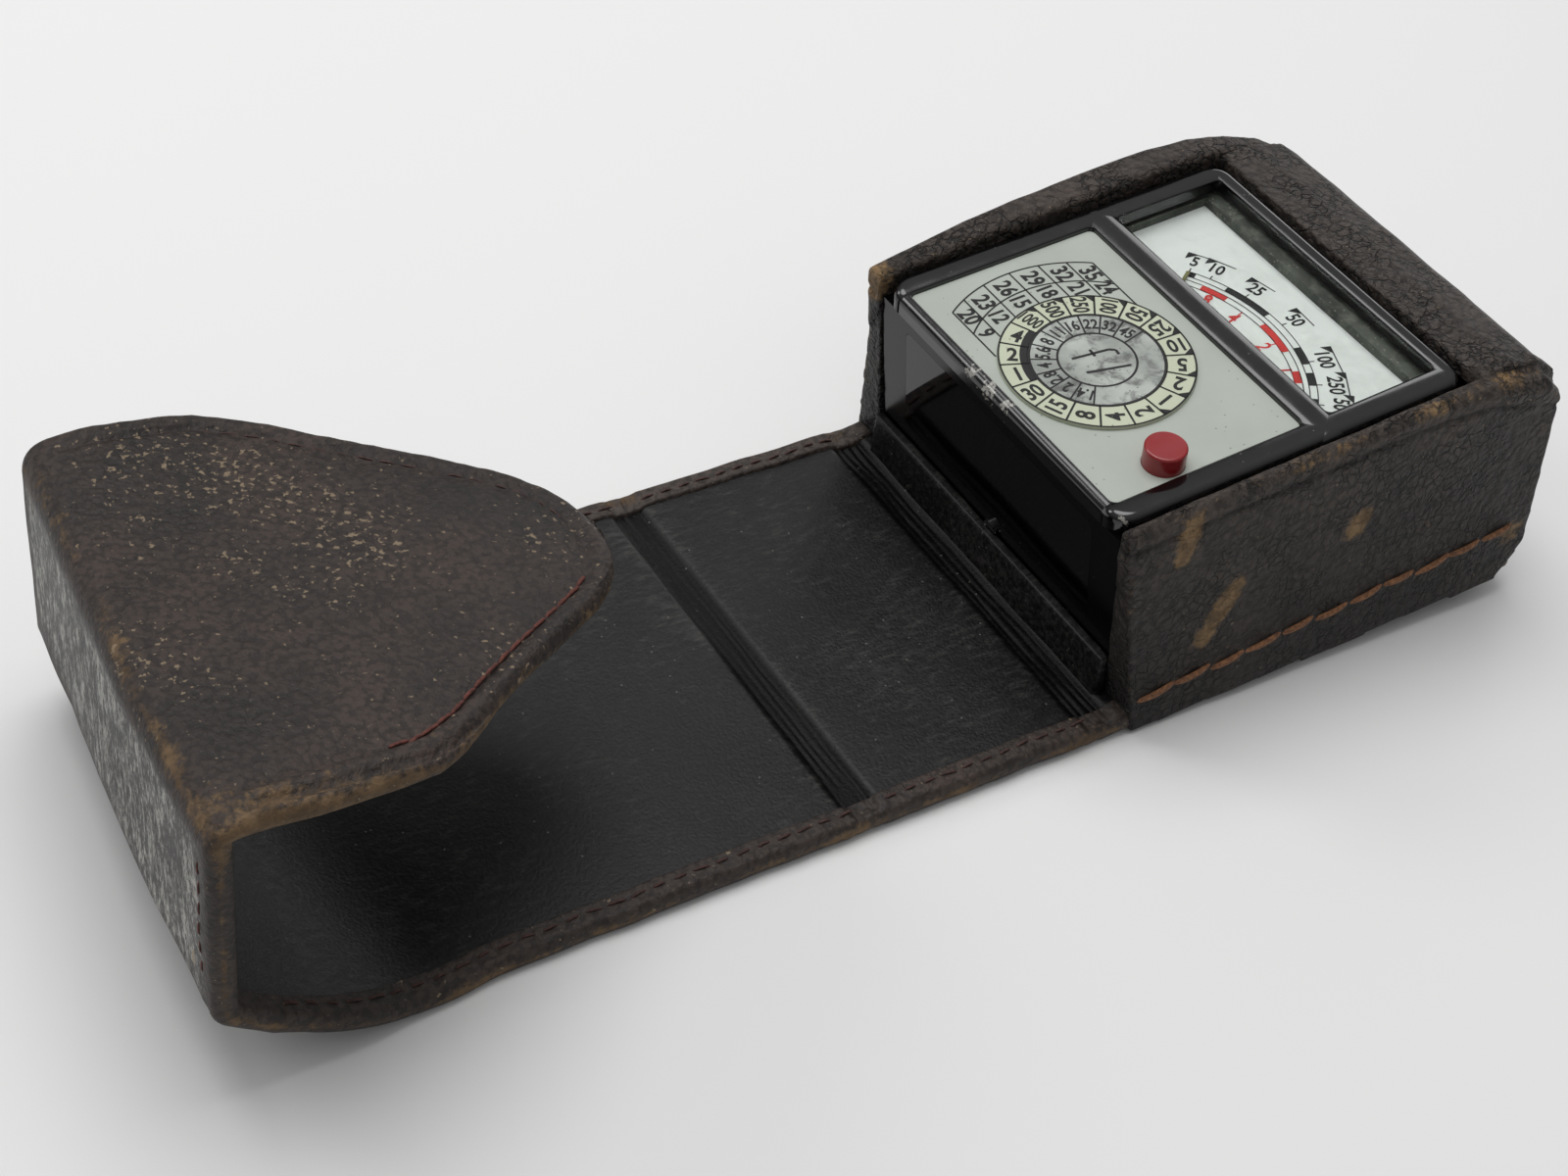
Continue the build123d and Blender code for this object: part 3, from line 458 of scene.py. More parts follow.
scale_white = plain_material("scale_white", (0.78, 0.80, 0.775), 0.5, spec=0.3, blotch=0.03, smudge=0.18,
                             smudge_size=90.0, speck_colour=(0.30, 0.32, 0.27))
mask_grey = plain_material("mask_grey", (0.085, 0.092, 0.078), 0.65, spec=0.3, speck=0.8,
                           speck_colour=(0.30, 0.31, 0.26), blotch=0.5, grain_depth=0.0001, smudge=0.3)
needle_paint = plain_material("needle_paint", (0.17, 0.16, 0.05), 0.45)
print_black = plain_material("print_black", (0.012, 0.012, 0.012), 0.5, spec=0.3, blotch=0.2)
print_red = plain_material("print_red", (0.55, 0.035, 0.030), 0.5, spec=0.3, blotch=0.15)
brass = plain_material("brass", (0.60, 0.42, 0.16), 0.3, metallic=1.0)
steel = plain_material("steel", (0.55, 0.55, 0.56), 0.3, metallic=1.0)
chrome = plain_material("chrome", (0.16, 0.16, 0.17), 0.22, metallic=1.0)
magnet_steel = plain_material("magnet_steel", (0.10, 0.10, 0.11), 0.45, metallic=0.8)
copper = plain_material("copper", (0.60, 0.26, 0.11), 0.35, metallic=1.0)
selenium = plain_material("selenium", (0.03, 0.03, 0.035), 0.35)
jewel = plain_material("jewel", (0.45, 0.02, 0.08), 0.1)
brown_board = plain_material("brown_board", (0.16, 0.08, 0.035), 0.6, blotch=0.2)
grey_board = plain_material("grey_board", (0.30, 0.24, 0.17), 0.85, blotch=0.15)
dark_glass = plain_material("dark_glass", (0.0010, 0.0010, 0.0012), 0.03, spec=0.28, rough_noise=0.03)

window_glass, tree, shader, place = start_material("window_glass")
smudge = noise_value(tree, place, 160.0, 4.0, 0.65)
set_inputs(tree, shader, {"Roughness": map_range(tree, smudge, 0.4, 0.8, 0.02, 0.12), "IOR": 1.1,
                          "Base Color": rgba(0.95, 0.97, 0.96), "Transmission Weight": 1.0,
                          "Specular IOR Level": 0.5})
print("materials:", len(bpy.data.materials))

# %% [markdown]
# ## Dress the CAD nodes
# Every CAD node gets a material even if it is hidden inside, because the case and the meter can be
# opened up later.

# %% Materials for the CAD nodes
node_materials = {
    black_enamel: ["face_frame"],
    shell_black: ["body_shell"],
    dark_glass: ["cell_glass"],
    plate_paint: ["face_plate"],
    window_glass: ["window_glass"],
    scale_white: ["scale_plate"],
    mask_grey: ["scale_mask"],
    dial_paint: ["dial_ring"],
    disc_metal: ["aperture_disc"],
    red_plastic: ["button"],
    needle_paint: ["needle"],
    chrome: ["zero_screw"],
    brass: ["cell_contact", "button_guide", "switch_leaf", "upper_bridge", "lower_bridge", "bridge_posts",
            "hairsprings"],
    steel: ["cell_clamp", "dial_clip", "button_spring", "iron_core", "movement_base", "case_screws",
            "pivot_staff"],
    magnet_steel: ["ring_magnet"],
    copper: ["moving_coil"],
    selenium: ["selenium_cell"],
    jewel: ["upper_jewel"],
    brown_board: ["switch_block", "range_resistor", "terminal_board"],
    grey_board: ["tray_base_board", "front_panel_board", "top_panel_board", "end_wall_board"],
    outer_leather: ["tray_base_leather", "near_wall", "far_wall", "end_hood", "keeper_strap", "front_fold",
                    "front_panel_leather", "top_fold", "top_panel_leather", "cap_fold", "end_wall_leather",
                    "crown_fold", "tongue_leather"],
    lining_leather: ["tray_base_lining", "front_panel_lining", "top_panel_lining", "end_wall_lining",
                     "tongue_lining", "front_lip"],
}
for material, names in node_materials.items():
    for name in names:
        node[name].data.materials.clear()
        node[name].data.materials.append(material)
print("dressed", sum(len(names) for names in node_materials.values()), "of", len(node), "nodes")

# %% [markdown]
# ## The strip as one surface
# Tray base, front panel, top panel, end wall and tongue are one strip of leather. Its middle surface
# is a grid: one direction runs along the strip, from the tray's rear to the tongue's tip, and the
# other runs across it. The outer face, the turned borders and the lining are all offsets of this grid.

# %% Lay out the middle surface
STRIP = 3.2
HALF_WIDTH = 33.75
FOLD_GAP = 37.0
TOP_RUN = 78.1
fold_1 = Vector(joint["front_fold"]["pos_m"]) / MM
fold_2 = Vector(joint["top_fold"]["pos_m"]) / MM
corner = Vector(joint["cap_fold"]["pos_m"]) / MM
crown = Vector(joint["crown_fold"]["pos_m"]) / MM
line = -Vector(joint["cap_fold"]["axis"])
wall_in = Vector((line.y, -line.x, 0)).normalized()
wall_up = (-line).cross(wall_in)
CURL_RADIUS, CURL_ANGLE = 31.0, math.radians(38)
curl_x = fold_1.x - (FOLD_GAP + TOP_RUN - CURL_RADIUS * math.sin(CURL_ANGLE))
rise = Vector((math.cos(math.radians(2.55)), 0, math.sin(math.radians(2.55))))
ramp_up = Vector((-math.cos(CURL_ANGLE), 0, math.sin(CURL_ANGLE)))
ramp_across = (ramp_up - line * ramp_up.dot(line)).normalized()
TONGUE_RADIUS, TONGUE_ROOT = 330.0, math.radians(87.5)
TONGUE_REACH, TONGUE_SQUARE = 61.5, 19.0
tip_x = crown.x + TONGUE_REACH
CORNER_ROUND = 2.3
# A row of the grid is labelled with its place along the flat strip, or else with its zone and number.
RAMP, CORNER, END_WALL, CROWN, TONGUE = -120.0, -200.0, -300.0, -400.0, 1000.0


def on_section(origin, a, b, y):
    """Point a and b away from origin in the cap's section, slid along the corner line to reach y."""
    p = origin + wall_in * a + wall_up * b
    return p + line * ((y - p.y) / line.y)


def rounded(origin, into, out, y, steps):
    """Arc points in the section where the direction into turns to out at origin."""
    turn = math.atan2(into[0] * out[1] - into[1] * out[0], into[0] * out[0] + into[1] * out[1])
    reach = CORNER_ROUND * math.tan(abs(turn) / 2)
    points = []
    for k in range(steps + 1):
        f = k / steps
        w0, w1 = (1 - f) ** 2, f ** 2
        a = -into[0] * reach * w0 + out[0] * reach * w1
        b = -into[1] * reach * w0 + out[1] * reach * w1
        points.append(on_section(origin, a, b, y))
    return points


def outline_half(x):
    """The tongue's half width at x."""
    run = tip_x - crown.x - TONGUE_SQUARE
    f = (x - crown.x - TONGUE_SQUARE) / run
    known = [(0, 1), (0.09, 0.995), (0.18, 0.95), (0.27, 0.885), (0.40, 0.765), (0.53, 0.655), (0.68, 0.535),
             (0.83, 0.41), (0.90, 0.33), (0.95, 0.245), (0.98, 0.155), (0.995, 0.075), (1, 0)]
    return HALF_WIDTH * np.interp(f, *zip(*known))


def tongue_point(x, y):
    """The point of the tongue's middle surface above x and y."""
    a, b = x - crown.x, 0.0
    for _ in range(6):
        # wall_in and line span the ground plan, so a and the slide come from two equations
        px, py = x - crown.x - b * wall_up.x, y - crown.y - b * wall_up.y
        det = wall_in.x * line.y - wall_in.y * line.x
        a = (px * line.y - py * line.x) / det
        slide = (wall_in.x * py - wall_in.y * px) / det
        angle = math.acos(min(1, (a + TONGUE_RADIUS * math.cos(TONGUE_ROOT)) / TONGUE_RADIUS))
        b = TONGUE_RADIUS * (math.sin(angle) - math.sin(TONGUE_ROOT))
    return crown + wall_in * a + wall_up * b + line * slide


ramp_in = (ramp_across.dot(wall_in), ramp_across.dot(wall_up))
crown_out = (math.sin(TONGUE_ROOT), -math.cos(TONGUE_ROOT))


def stretch(start, end, steps, dense=()):
    """Positions from start to end, with extra ones around the places in dense."""
    values = set(np.linspace(start, end, steps + 1).round(4))
    for centre in dense:
        values |= set(v for v in (centre + np.arange(-3.2, 3.21, 0.2)).round(4)
                      if min(start, end) <= v <= max(start, end))
    return sorted(values, reverse=end < start)


base_steps = stretch(73.5, 0, 36, (0,))
front_steps = stretch(0, -FOLD_GAP, 18, (0, -FOLD_GAP))[1:]
flat_steps = stretch(-FOLD_GAP, curl_x - fold_1.x, 28, (-FOLD_GAP,))[1:]
TONGUE_STEPS = 60


def column(y):
    """The middle surface along the strip at one place across it, with a label for each point."""
    points, kinds = [], []
    for s in base_steps:
        points.append(Vector((fold_1.x, y, fold_1.z)) + rise * s)
        kinds.append(s)
    for s in front_steps + flat_steps:
        points.append(Vector((fold_1.x + s, y, fold_1.z)))
        kinds.append(s)
    mid = CURL_RADIUS - STRIP / 2
    for k in range(1, 13):
        angle = CURL_ANGLE * k / 12
        points.append(Vector((curl_x - mid * math.sin(angle), y, CURL_RADIUS - mid * math.cos(angle))))
        kinds.append(curl_x - fold_1.x - CURL_RADIUS * angle)
    arc = rounded(corner, ramp_in, (0, 1), y, 8)
    foot = points[-1]
    for k in range(1, 6):
        points.append(foot.lerp(arc[0], k / 6))
        kinds.append(RAMP - k)
    points += arc
    kinds += [CORNER + k for k in range(9)]
    top = rounded(crown, (0, 1), crown_out, y, 10)
    for k in range(1, 24):
        points.append(arc[-1].lerp(top[0], k / 24))
        kinds.append(END_WALL - k)
    points += top
    kinds += [CROWN + k for k in range(11)]
    begin = top[-1].x
    for k in range(1, TONGUE_STEPS + 1):
        f = 1 - (1 - k / TONGUE_STEPS) ** 1.8
        x = begin + (tip_x - begin) * f
        points.append(tongue_point(x, y / HALF_WIDTH * float(outline_half(x))))
        kinds.append(TONGUE + k)
    return points, kinds


across = [0, 0.12, 0.3, 0.55, 0.85, 1.2, 1.7, 2.2, 2.7, 3.1, 3.4, 3.6, 3.75, 3.95, 4.3, 5, 6.2, 8, 10.5, 13.5,
          17, 21, 25.5, 29.8]
ys = np.array([-HALF_WIDTH + d for d in across] + [0] + [HALF_WIDTH - d for d in reversed(across)])
columns = [column(float(y)) for y in ys]
middle = np.array([[tuple(p) for p in points] for points, _ in columns]).transpose(1, 0, 2)
kinds = np.array(columns[0][1])
# The far end of the crown stands up a little more than the near end.
raised = np.exp(-((middle[..., 0] + 86) / 11) ** 2 - ((middle[..., 1] - 32) / 11) ** 2)
middle[..., 2] += 1.5 * raised * np.clip((middle[..., 2] - 22) / 10, 0, 1)
# The cap's near side is pulled outwards and hangs a little lower than the far side.
pulled = np.clip((-58 - middle[..., 0]) / 30, 0, 1) * np.clip(-middle[..., 1] / 33, 0, 1) ** 1.5
pulled = pulled * pulled * (3 - 2 * pulled)
off_ground = np.clip((middle[..., 2] - 4) / 8, 0, 1) * np.clip((44 - middle[..., 2]) / 25, 0, 1)
middle += pulled[..., None] * np.array([1.3, -2.1, 0.0])
middle[..., 2] -= 1.8 * pulled * off_ground
along = np.gradient(middle, axis=0)
sideways = np.gradient(middle, axis=1)
inward = np.cross(sideways, along)
inward /= np.linalg.norm(inward, axis=2, keepdims=True) + 1e-12
inward[-1] = inward[-3]
inward[-2] = inward[-3]

crown_start = int(np.argmax(kinds == CROWN))
tongue_start = int(np.argmax(kinds == TONGUE + 1))
corner_start = int(np.argmax(kinds == CORNER))
thickness = np.full(len(kinds), STRIP)
thickness[crown_start:] = 2.4
thickness[crown_start:tongue_start] = np.linspace(STRIP, 2.4, tongue_start - crown_start)

# Distance of every grid point to the strip's edge, in millimetres.
edge_mm = np.repeat((HALF_WIDTH - np.abs(ys))[None, :], len(kinds), axis=0)
fine_x = np.linspace(crown.x - 12, tip_x, 900)
rim = np.array([(x, s * outline_half(x)) for s in (-1, 1) for x in fine_x])
for i in range(tongue_start, len(kinds)):
    gap = middle[i, :, None, :2] - rim[None, :, :]
    edge_mm[i] = np.minimum(edge_mm[i], np.sqrt((gap ** 2).sum(2)).min(1))
    edge_mm[i, 0] = edge_mm[i, -1] = 0
print("grid", middle.shape[:2], "tip at", middle[-1, 0].round(1))

# %% [markdown]
# ## Pressed folds and turned borders
# The depth of the leather below its outer face is a function of two things: how far a point is from
# the edge, and how far it is from a fold. At the folds the leather was pressed in parallel lines.


# %% Depth profiles
def fold_press(s, y):
    """How deep the lining is pressed at s along the strip and y across it, near either fold."""
    depth = 0.0
    for centre in (0.0, -FOLD_GAP):
        d = s - centre + 0.22 * noise.noise(Vector((y / 14, centre, 0)))
        depth = depth + 0.70 * np.exp(-(np.abs(d) / 2.4) ** 6)
        for ridge in (-1.7, -0.55, 0.65, 1.75):
            drift = 0.5 * noise.noise(Vector((y / 8, ridge * 7, centre)))
            strength = max(0.0, 0.12 + 0.36 * noise.noise(Vector((y / 6, ridge * 3, centre + 5))))
            depth = depth + strength * np.exp(-((d - ridge - drift) / 0.26) ** 2)
    return depth


def half_round(edge, half, radius):
    """Height above the middle of a rounded edge."""
    f = np.clip(1 - edge / radius, 0, 1)
    return half * np.sqrt(1 - f ** 2)


def wobble(p, size, amount):
    """Gentle unevenness of old leather at a point in millimetres."""
    return amount * noise.noise(Vector(p) / size)


along_mm = np.where((kinds > RAMP + 0.5) & (kinds < TONGUE / 2), kinds, -500.0)
press = np.stack([fold_press(along_mm, float(y)) for y in ys], 1)


def strip_layers():
    """Outer face and inner face of the leather as two grids of points."""
    half = thickness[:, None] / 2
    outer = -half_round(edge_mm, half, 1.25)
    inner_flat = half_round(edge_mm, half, 1.0) + 0.05
    tuck = np.clip((edge_mm - 3.4) / 0.55, 0, 1)
    tuck = tuck * tuck * (3 - 2 * tuck)
    inner = inner_flat - tuck * 0.95 - press * 0.8 * np.clip(edge_mm / 1.5, 0, 1)
    inner[crown_start:] = (half_round(edge_mm, half, 1.0) - tuck * 0.55)[crown_start:]
    # the tongue's edge is rolled, with the stitched line pulled in beside it
    seam = 0.42 * np.exp(-((edge_mm - 3.3) / 0.45) ** 2) + 0.12 * np.exp(-((edge_mm - 4.7) / 0.4) ** 2)
    rolled = 0.35 * np.exp(-((edge_mm - 1.5) / 1.1) ** 2)
    outer[tongue_start:] += (seam - rolled)[tongue_start:]
    swell = np.array([[wobble(p, 11, 0.24) + wobble(p, 4, 0.09) for p in row] for row in middle])
    swell *= np.clip(edge_mm / 2, 0.25, 1)
    # the turned borders pucker where they cross a fold
    folds = sum(np.exp(-((along_mm - centre) / 4.5) ** 2) for centre in (0.0, -FOLD_GAP))[:, None]
    pucker = np.array([[noise.noise(Vector((p[0] / 1.5, p[1] / 4, 3))) for p in row] for row in middle])
    on_border = np.clip((4.0 - edge_mm) / 1.5, 0, 1) * np.clip(edge_mm / 0.8, 0.2, 1)
    swell += (0.22 + 0.60 * folds) * pucker * on_border
    return middle + inward * (outer + swell)[..., None], middle + inward * (inner + swell * 0.6)[..., None]


outer_grid, inner_grid = strip_layers()
# The near and far edges aren't ruled straight.
for grid in (outer_grid, inner_grid):
    for i in range(len(kinds)):
        for side, sign in ((slice(0, 13), -1), (slice(-13, None), 1)):
            x = middle[i, side, 0][0 if sign < 0 else -1]
            grid[i, side, 1] += sign * 0.28 * (noise.noise(Vector((x / 6, sign * 9, kinds[i] // 300))) - 0.25)
    grid[..., 2] = np.maximum(grid[..., 2], 0.03)
print("outer face from", outer_grid.reshape(-1, 3).min(0).round(1), "to",
      outer_grid.reshape(-1, 3).max(0).round(1))


# %% [markdown]
# ## Four pieces of outer leather
# A piece of leather may bend across one joint only. Each piece spans one joint, so the strip is cut
# in the middle of each panel, where nothing bends, and each cut is invisible because both sides
# follow the same surface.


# %% Build and cut the strip
def strip_piece(name, first, last, outer, inner, material, close_start=True, close_end=True):
    """A closed shell between two rows of the grid."""
    rows, cols = last - first + 1, outer.shape[1]
    verts = list(outer[first:last + 1].reshape(-1, 3)) + list(inner[first:last + 1].reshape(-1, 3))
    count = rows * cols
    faces = []
    for i in range(rows - 1):
        for j in range(cols - 1):
            a, b, c, d = i * cols + j, i * cols + j + 1, (i + 1) * cols + j + 1, (i + 1) * cols + j
            faces.append((a, b, c, d))
            faces.append((count + d, count + c, count + b, count + a))
        for j, flip in ((0, False), (cols - 1, True)):
            a, b = i * cols + j, (i + 1) * cols + j
            quad = (a, b, count + b, count + a)
            faces.append(quad if not flip else quad[::-1])
    for i, flip in ((0, True), (rows - 1, False)):
        if (i == 0 and not close_start) or (i and not close_end):
            continue
        top = len(verts)
        verts += list(outer[first + i]) + list(inner[first + i])
        for j in range(cols - 1):
            quad = (top + j, top + j + 1, top + cols + j + 1, top + cols + j)
            faces.append(quad[::-1] if flip else quad)
    made = mesh_object(name, [Vector(v) * MM for v in verts], faces, material)
    bm = bmesh.new()
    bm.from_mesh(made.data)
    bmesh.ops.recalc_face_normals(bm, faces=bm.faces)
    bm.to_mesh(made.data)
    bm.free()
    return made


# Worn places on the strip: a point in millimetres, its radius and how strong it is.
worn_spots = [
    ((-92, -35, 45), 7, 0.40), ((-82, -34, 44), 6, 0.30), ((-72, -31, 42), 5, 0.22),
    ((-98, -22, 45), 6, 0.24),
    ((-98, -6, 45), 5, 0.30), ((-96, 30, 38), 6, 0.22), ((-80, 27, 38), 6, 0.22), ((-66, 18, 36), 6, 0.25),
    ((-48, 8, 35), 6, 0.18), ((-44, 0, 34), 5, 0.12), ((-14, -33, 3), 5, 0.25), ((24, -33, 3), 4, 0.2),
    ((-60, -33, 2), 8, 0.12), ((24, 33, 3), 5, 0.3), ((-10, 33, 3), 5, 0.3),
]


def wear_at(points, spots):
    """How worn each point is."""
    total = np.zeros(len(points))
    for place, radius, strength in spots:
        gap = np.linalg.norm(points - np.array(place), axis=1)
        total += strength * np.exp(-(gap / radius) ** 2)
    return total


# Places on the tongue where the finish has flaked off in pale dots.
fleck_spots = [
    ((-73, 20, 40), 7, 0.9), ((-82, 25, 41), 7, 0.8), ((-66, 11, 39), 6, 0.9), ((-62, 3, 39), 6, 0.8),
    ((-79, 3, 42), 4, 0.8), ((-95, -7, 45), 5, 1.0), ((-43, -3, 35), 5, 0.6), ((-38, 2, 34), 4, 0.6),
    ((-71, -3, 41), 6, 0.55), ((-92, -14, 45), 4, 0.6), ((-57, -22, 38), 7, 0.8), ((-88, 13, 43), 5, 0.5),
]
crown_line = [np.array(crown + line * k) for k in np.linspace(-34, 34, 69)]


def leather_attributes(made, edge, spots=(), **others):
    """The numbers that the leather material reads."""
    points = corners(made) / MM
    set_attribute(made, "edge", edge)
    set_attribute(made, "wear", wear_at(points, spots))
    for name in ("fibre", "fleck", "tint", "shade"):
        set_attribute(made, name, others.get(name, np.zeros(len(points))))


def nearest(points, targets):
    """Distance of each point to the nearest target."""
    targets = np.asarray(targets)
    best = np.full(len(points), 1e9)
    for start in range(0, len(points), 4000):
        gap = points[start:start + 4000, None, :] - targets[None]
        best[start:start + 4000] = np.sqrt((gap ** 2).sum(2)).min(1)
    return best


edge_targets = np.concatenate([middle[:, 0], middle[:, -1], crown_line])
front_middle = int(np.argmin(np.abs(kinds + FOLD_GAP / 2)))
flat_middle = int(np.argmin(np.abs(kinds + 66)))
wall_middle = int(np.argmax(kinds == END_WALL - 12))
last_row = len(kinds) - 1
cuts = [
    ("strip_tray", 0, front_middle, ("tray", "front_panel"), fold_1, Vector((-1, 0, 0)), 2.6,
     ["tray_base_leather", "front_fold", "front_panel_leather"]),
    ("strip_panel", front_middle, flat_middle, ("front_panel", "top_panel"), fold_2, Vector((-1, 0, 0)), 2.6,
     ["top_fold", "top_panel_leather"]),
    ("strip_cap", flat_middle, wall_middle, ("top_panel", "end_wall"), corner,
     (ramp_across + wall_up).normalized(), 2.2, ["cap_fold", "end_wall_leather"]),
    ("strip_tongue", wall_middle, last_row, ("end_wall", "tongue"), crown,
     (wall_up + wall_in).normalized(), 2.2, ["crown_fold", "tongue_leather"]),
]
for name, first, last, bodies, centre, direction, reach, hidden in cuts:
    piece = strip_piece(name, first, last, outer_grid, inner_grid, outer_leather)
    points = corners(piece) / MM
    edge = nearest(points, edge_targets)
    # The end wall's worn face: grey fibres whose pale streaks are partly a painted sheen.
    on_wall = np.clip(1 - np.abs((points - np.array(corner)) @ np.array(wall_in) + 1.0) / 2.2, 0, 1)
    on_wall *= np.clip((points[:, 2] - 14) / 6, 0, 1) * np.clip((edge - 2.5) / 2.5, 0, 1)
    fibre = np.clip(on_wall * 2.2, 0, 1)
    fleck = np.clip(wear_at(points, fleck_spots), 0, 0.85) * (points[:, 2] > 30) + 0.1
    tint = np.clip((4.2 - edge) / 1.0, 0, 1) * (points[:, 2] < 30) * np.where(points[:, 1] > 0, 0.75, 0.3)
    leather_attributes(piece, edge, worn_spots, fibre=fibre, fleck=fleck, tint=tint)
    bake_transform(piece)
    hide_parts(*hidden)
    print(name, len(piece.data.polygons), "faces between", bodies)

# %% [markdown]
# ## The lining
# The lining is a thin sheet that tucks under the turned borders. It takes the pressed lines of the
# folds much more sharply than the outer leather does.

# %% Build the lining in matching pieces
inside = [j for j, y in enumerate(ys) if HALF_WIDTH - abs(y) >= 3.4]
lining_middle = middle[:, inside]
lining_in = inward[:, inside]
relief = np.array([[wobble(p, 9, 0.10) + wobble(p, 2.6, 0.025) for p in row] for row in lining_middle])
lining_press = press[:, inside]
lining_top = lining_middle + lining_in * (1.18 + relief - lining_press)[..., None]
lining_under = lining_middle + lining_in * (0.55 + relief - lining_press * 0.7)[..., None]
lining_top[tongue_start:] -= lining_in[tongue_start:] * 0.22
lining_under[tongue_start:] -= lining_in[tongue_start:] * 0.25
lining_cuts = [
    ("lining_tray", 0, front_middle, cuts[0], ["tray_base_lining", "front_panel_lining"]),
    ("lining_panel", front_middle, flat_middle, cuts[1], ["top_panel_lining"]),
    ("lining_cap", flat_middle, wall_middle, cuts[2], ["end_wall_lining"]),
    ("lining_crown", wall_middle, last_row, cuts[3], ["tongue_lining"]),
]
fold_wear = [((fold_2.x + d, y, 3), 1.4, 0.16) for d in (-3.0, 3.0) for y in range(-28, 30, 3)]
fold_wear += [((fold_2.x - 3.6, 22, 3), 2.2, 0.22), ((fold_2.x - 3, 4, 3), 2.0, 0.15),
              ((fold_2.x - 4, 27, 3), 2.5, 0.2)]
for name, first, last, cut, hidden in lining_cuts:
    piece = strip_piece(name, first, last, lining_top, lining_under, lining_leather)
    points = corners(piece) / MM
    set_attribute(piece, "wear", wear_at(points, fold_wear))
    from_fold = np.minimum(np.abs(points[:, 0] - fold_1.x), np.abs(points[:, 0] - fold_2.x))
    # Painted shade in the pressed grooves of both folds, where they lie on the ground.
    set_attribute(piece, "shade", 0.75 * np.clip((3.0 - from_fold) / 1.0, 0, 1) * (points[:, 2] < 4))
    bodies, centre, direction, reach = cut[3:7]
    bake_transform(piece)
    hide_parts(*hidden)
print("lining pieces:", [c[0] for c in lining_cuts])

# %% [markdown]
# ## The tray's soft walls
# Each wall starts as a few convex blocks in deck axes. Remeshing with small voxels melts them into
# one skin, smoothing rounds the corners, and a little noise makes them look sewn by hand.

# %% Block out the walls
REAR = 59.6
INSIDE = 27.8
FRONT_LEAN, WALL_LEAN = math.radians(5), math.radians(7.0)


def front_edge(z):
    """Where the wall's sloping front edge is at height z."""
    return -16.6 - z * math.tan(FRONT_LEAN)


def wall_out(z):
    """How far out the wall's outer face is at height z."""
    return INSIDE + 2.1 + (0.5 - z) * math.tan(WALL_LEAN)


def hull(bm, points):
    """Adds the convex hull of some points, in millimetres in deck axes."""
    made = [bm.verts.new(Vector(p) * MM) for p in points]
    result = bmesh.ops.convex_hull(bm, input=made)
    loose = [g for g in result["geom_interior"] + result["geom_unused"] if isinstance(g, bmesh.types.BMVert)]
    bmesh.ops.delete(bm, geom=list(set(loose)), context="VERTS")


def soft_solid(name, blocks, voxel, rounds, material, unevenness=0.18):
    """Blocks melted into one soft skin, in the row frame."""
    mesh = bpy.data.meshes.new(name + "_blocks")
    bm = bmesh.new()
    for block in blocks:
        hull(bm, block)
    bmesh.ops.recalc_face_normals(bm, faces=bm.faces)
    bm.to_mesh(mesh)
    bm.free()
    rough_piece = linked(name + "_rough", mesh)
    skin = rough_piece.modifiers.new("skin", "REMESH")
    skin.mode = "VOXEL"
    skin.voxel_size = voxel * MM
    relax = rough_piece.modifiers.new("relax", "SMOOTH")
    relax.factor = 0.5
    relax.iterations = rounds
    result = evaluated_mesh(rough_piece)
    bpy.data.objects.remove(rough_piece)
    made = linked(name, result)
    result.polygons.foreach_set("use_smooth", [True] * len(result.polygons))
    co = corners(made)
    push = np.array([wobble(p / MM, 9, unevenness) + wobble(p / MM, 3.2, unevenness * 0.3) for p in co])
    co += corners(made, "normal") * push[:, None] * MM
    result.vertices.foreach_set("co", co.ravel())
    result.transform(DECK)
    result.materials.clear()
    result.materials.append(material)
    return made


seat_front = Vector((fold_1.x * MM, 0, STRIP / 2 * MM))
seat = [(p.x, p.z) for p in (DECK.inverted() @ seat_front, DECK.inverted() @ (seat_front + rise * 0.0735))]


def base_line(x, lift=0.0):
    """Height of the middle of the tray base at deck x, in millimetres."""
    (x0, z0), (x1, z1) = seat
    return (z0 + (z1 - z0) * (x / 1000 - x0) / (x1 - x0)) * 1000 + lift


def wall_blocks(sign, rims):
    """A wall, straight inside and leaning outside; rims are (x, rise, reach) of its rolled rim."""
    low = -STRIP / 2 + 0.15
    profile = [(front_edge(0.3), -1.0), (43.0, -1.0), (54.5, -2.6), (58.0, -5.0), (REAR, -9.0),
               (REAR - 1.7, base_line(57, low + 5.2)), (REAR - 6.6, base_line(54, low)),
               (front_edge(-32) - 0.4, base_line(-14, low))]
    wall = [(x, sign * INSIDE, z) for x, z in profile]
    wall += [(x - (1.6 if x > 50 else 0), sign * wall_out(z), z) for x, z in profile]
    blocks = [wall]
    for (x0, rise_0, out_0), (x1, rise_1, out_1) in zip(rims, rims[1:]):
        block = []
        for x, up_by, out_by in ((x0, rise_0, out_0), (x1, rise_1, out_1)):
            block += [(x, sign * INSIDE, up_by - 0.5), (x, sign * (INSIDE + 0.9), up_by),
                      (x, sign * (INSIDE + out_by - 0.9), up_by - 0.1),
                      (x, sign * (INSIDE + out_by), up_by - 1.2),
                      (x, sign * (INSIDE + out_by), up_by - 3.4), (x, sign * (INSIDE + 2.5), -9.5),
                      (x, sign * INSIDE, min(up_by - 4.5, -3.5))]
        blocks.append(block)
    return blocks


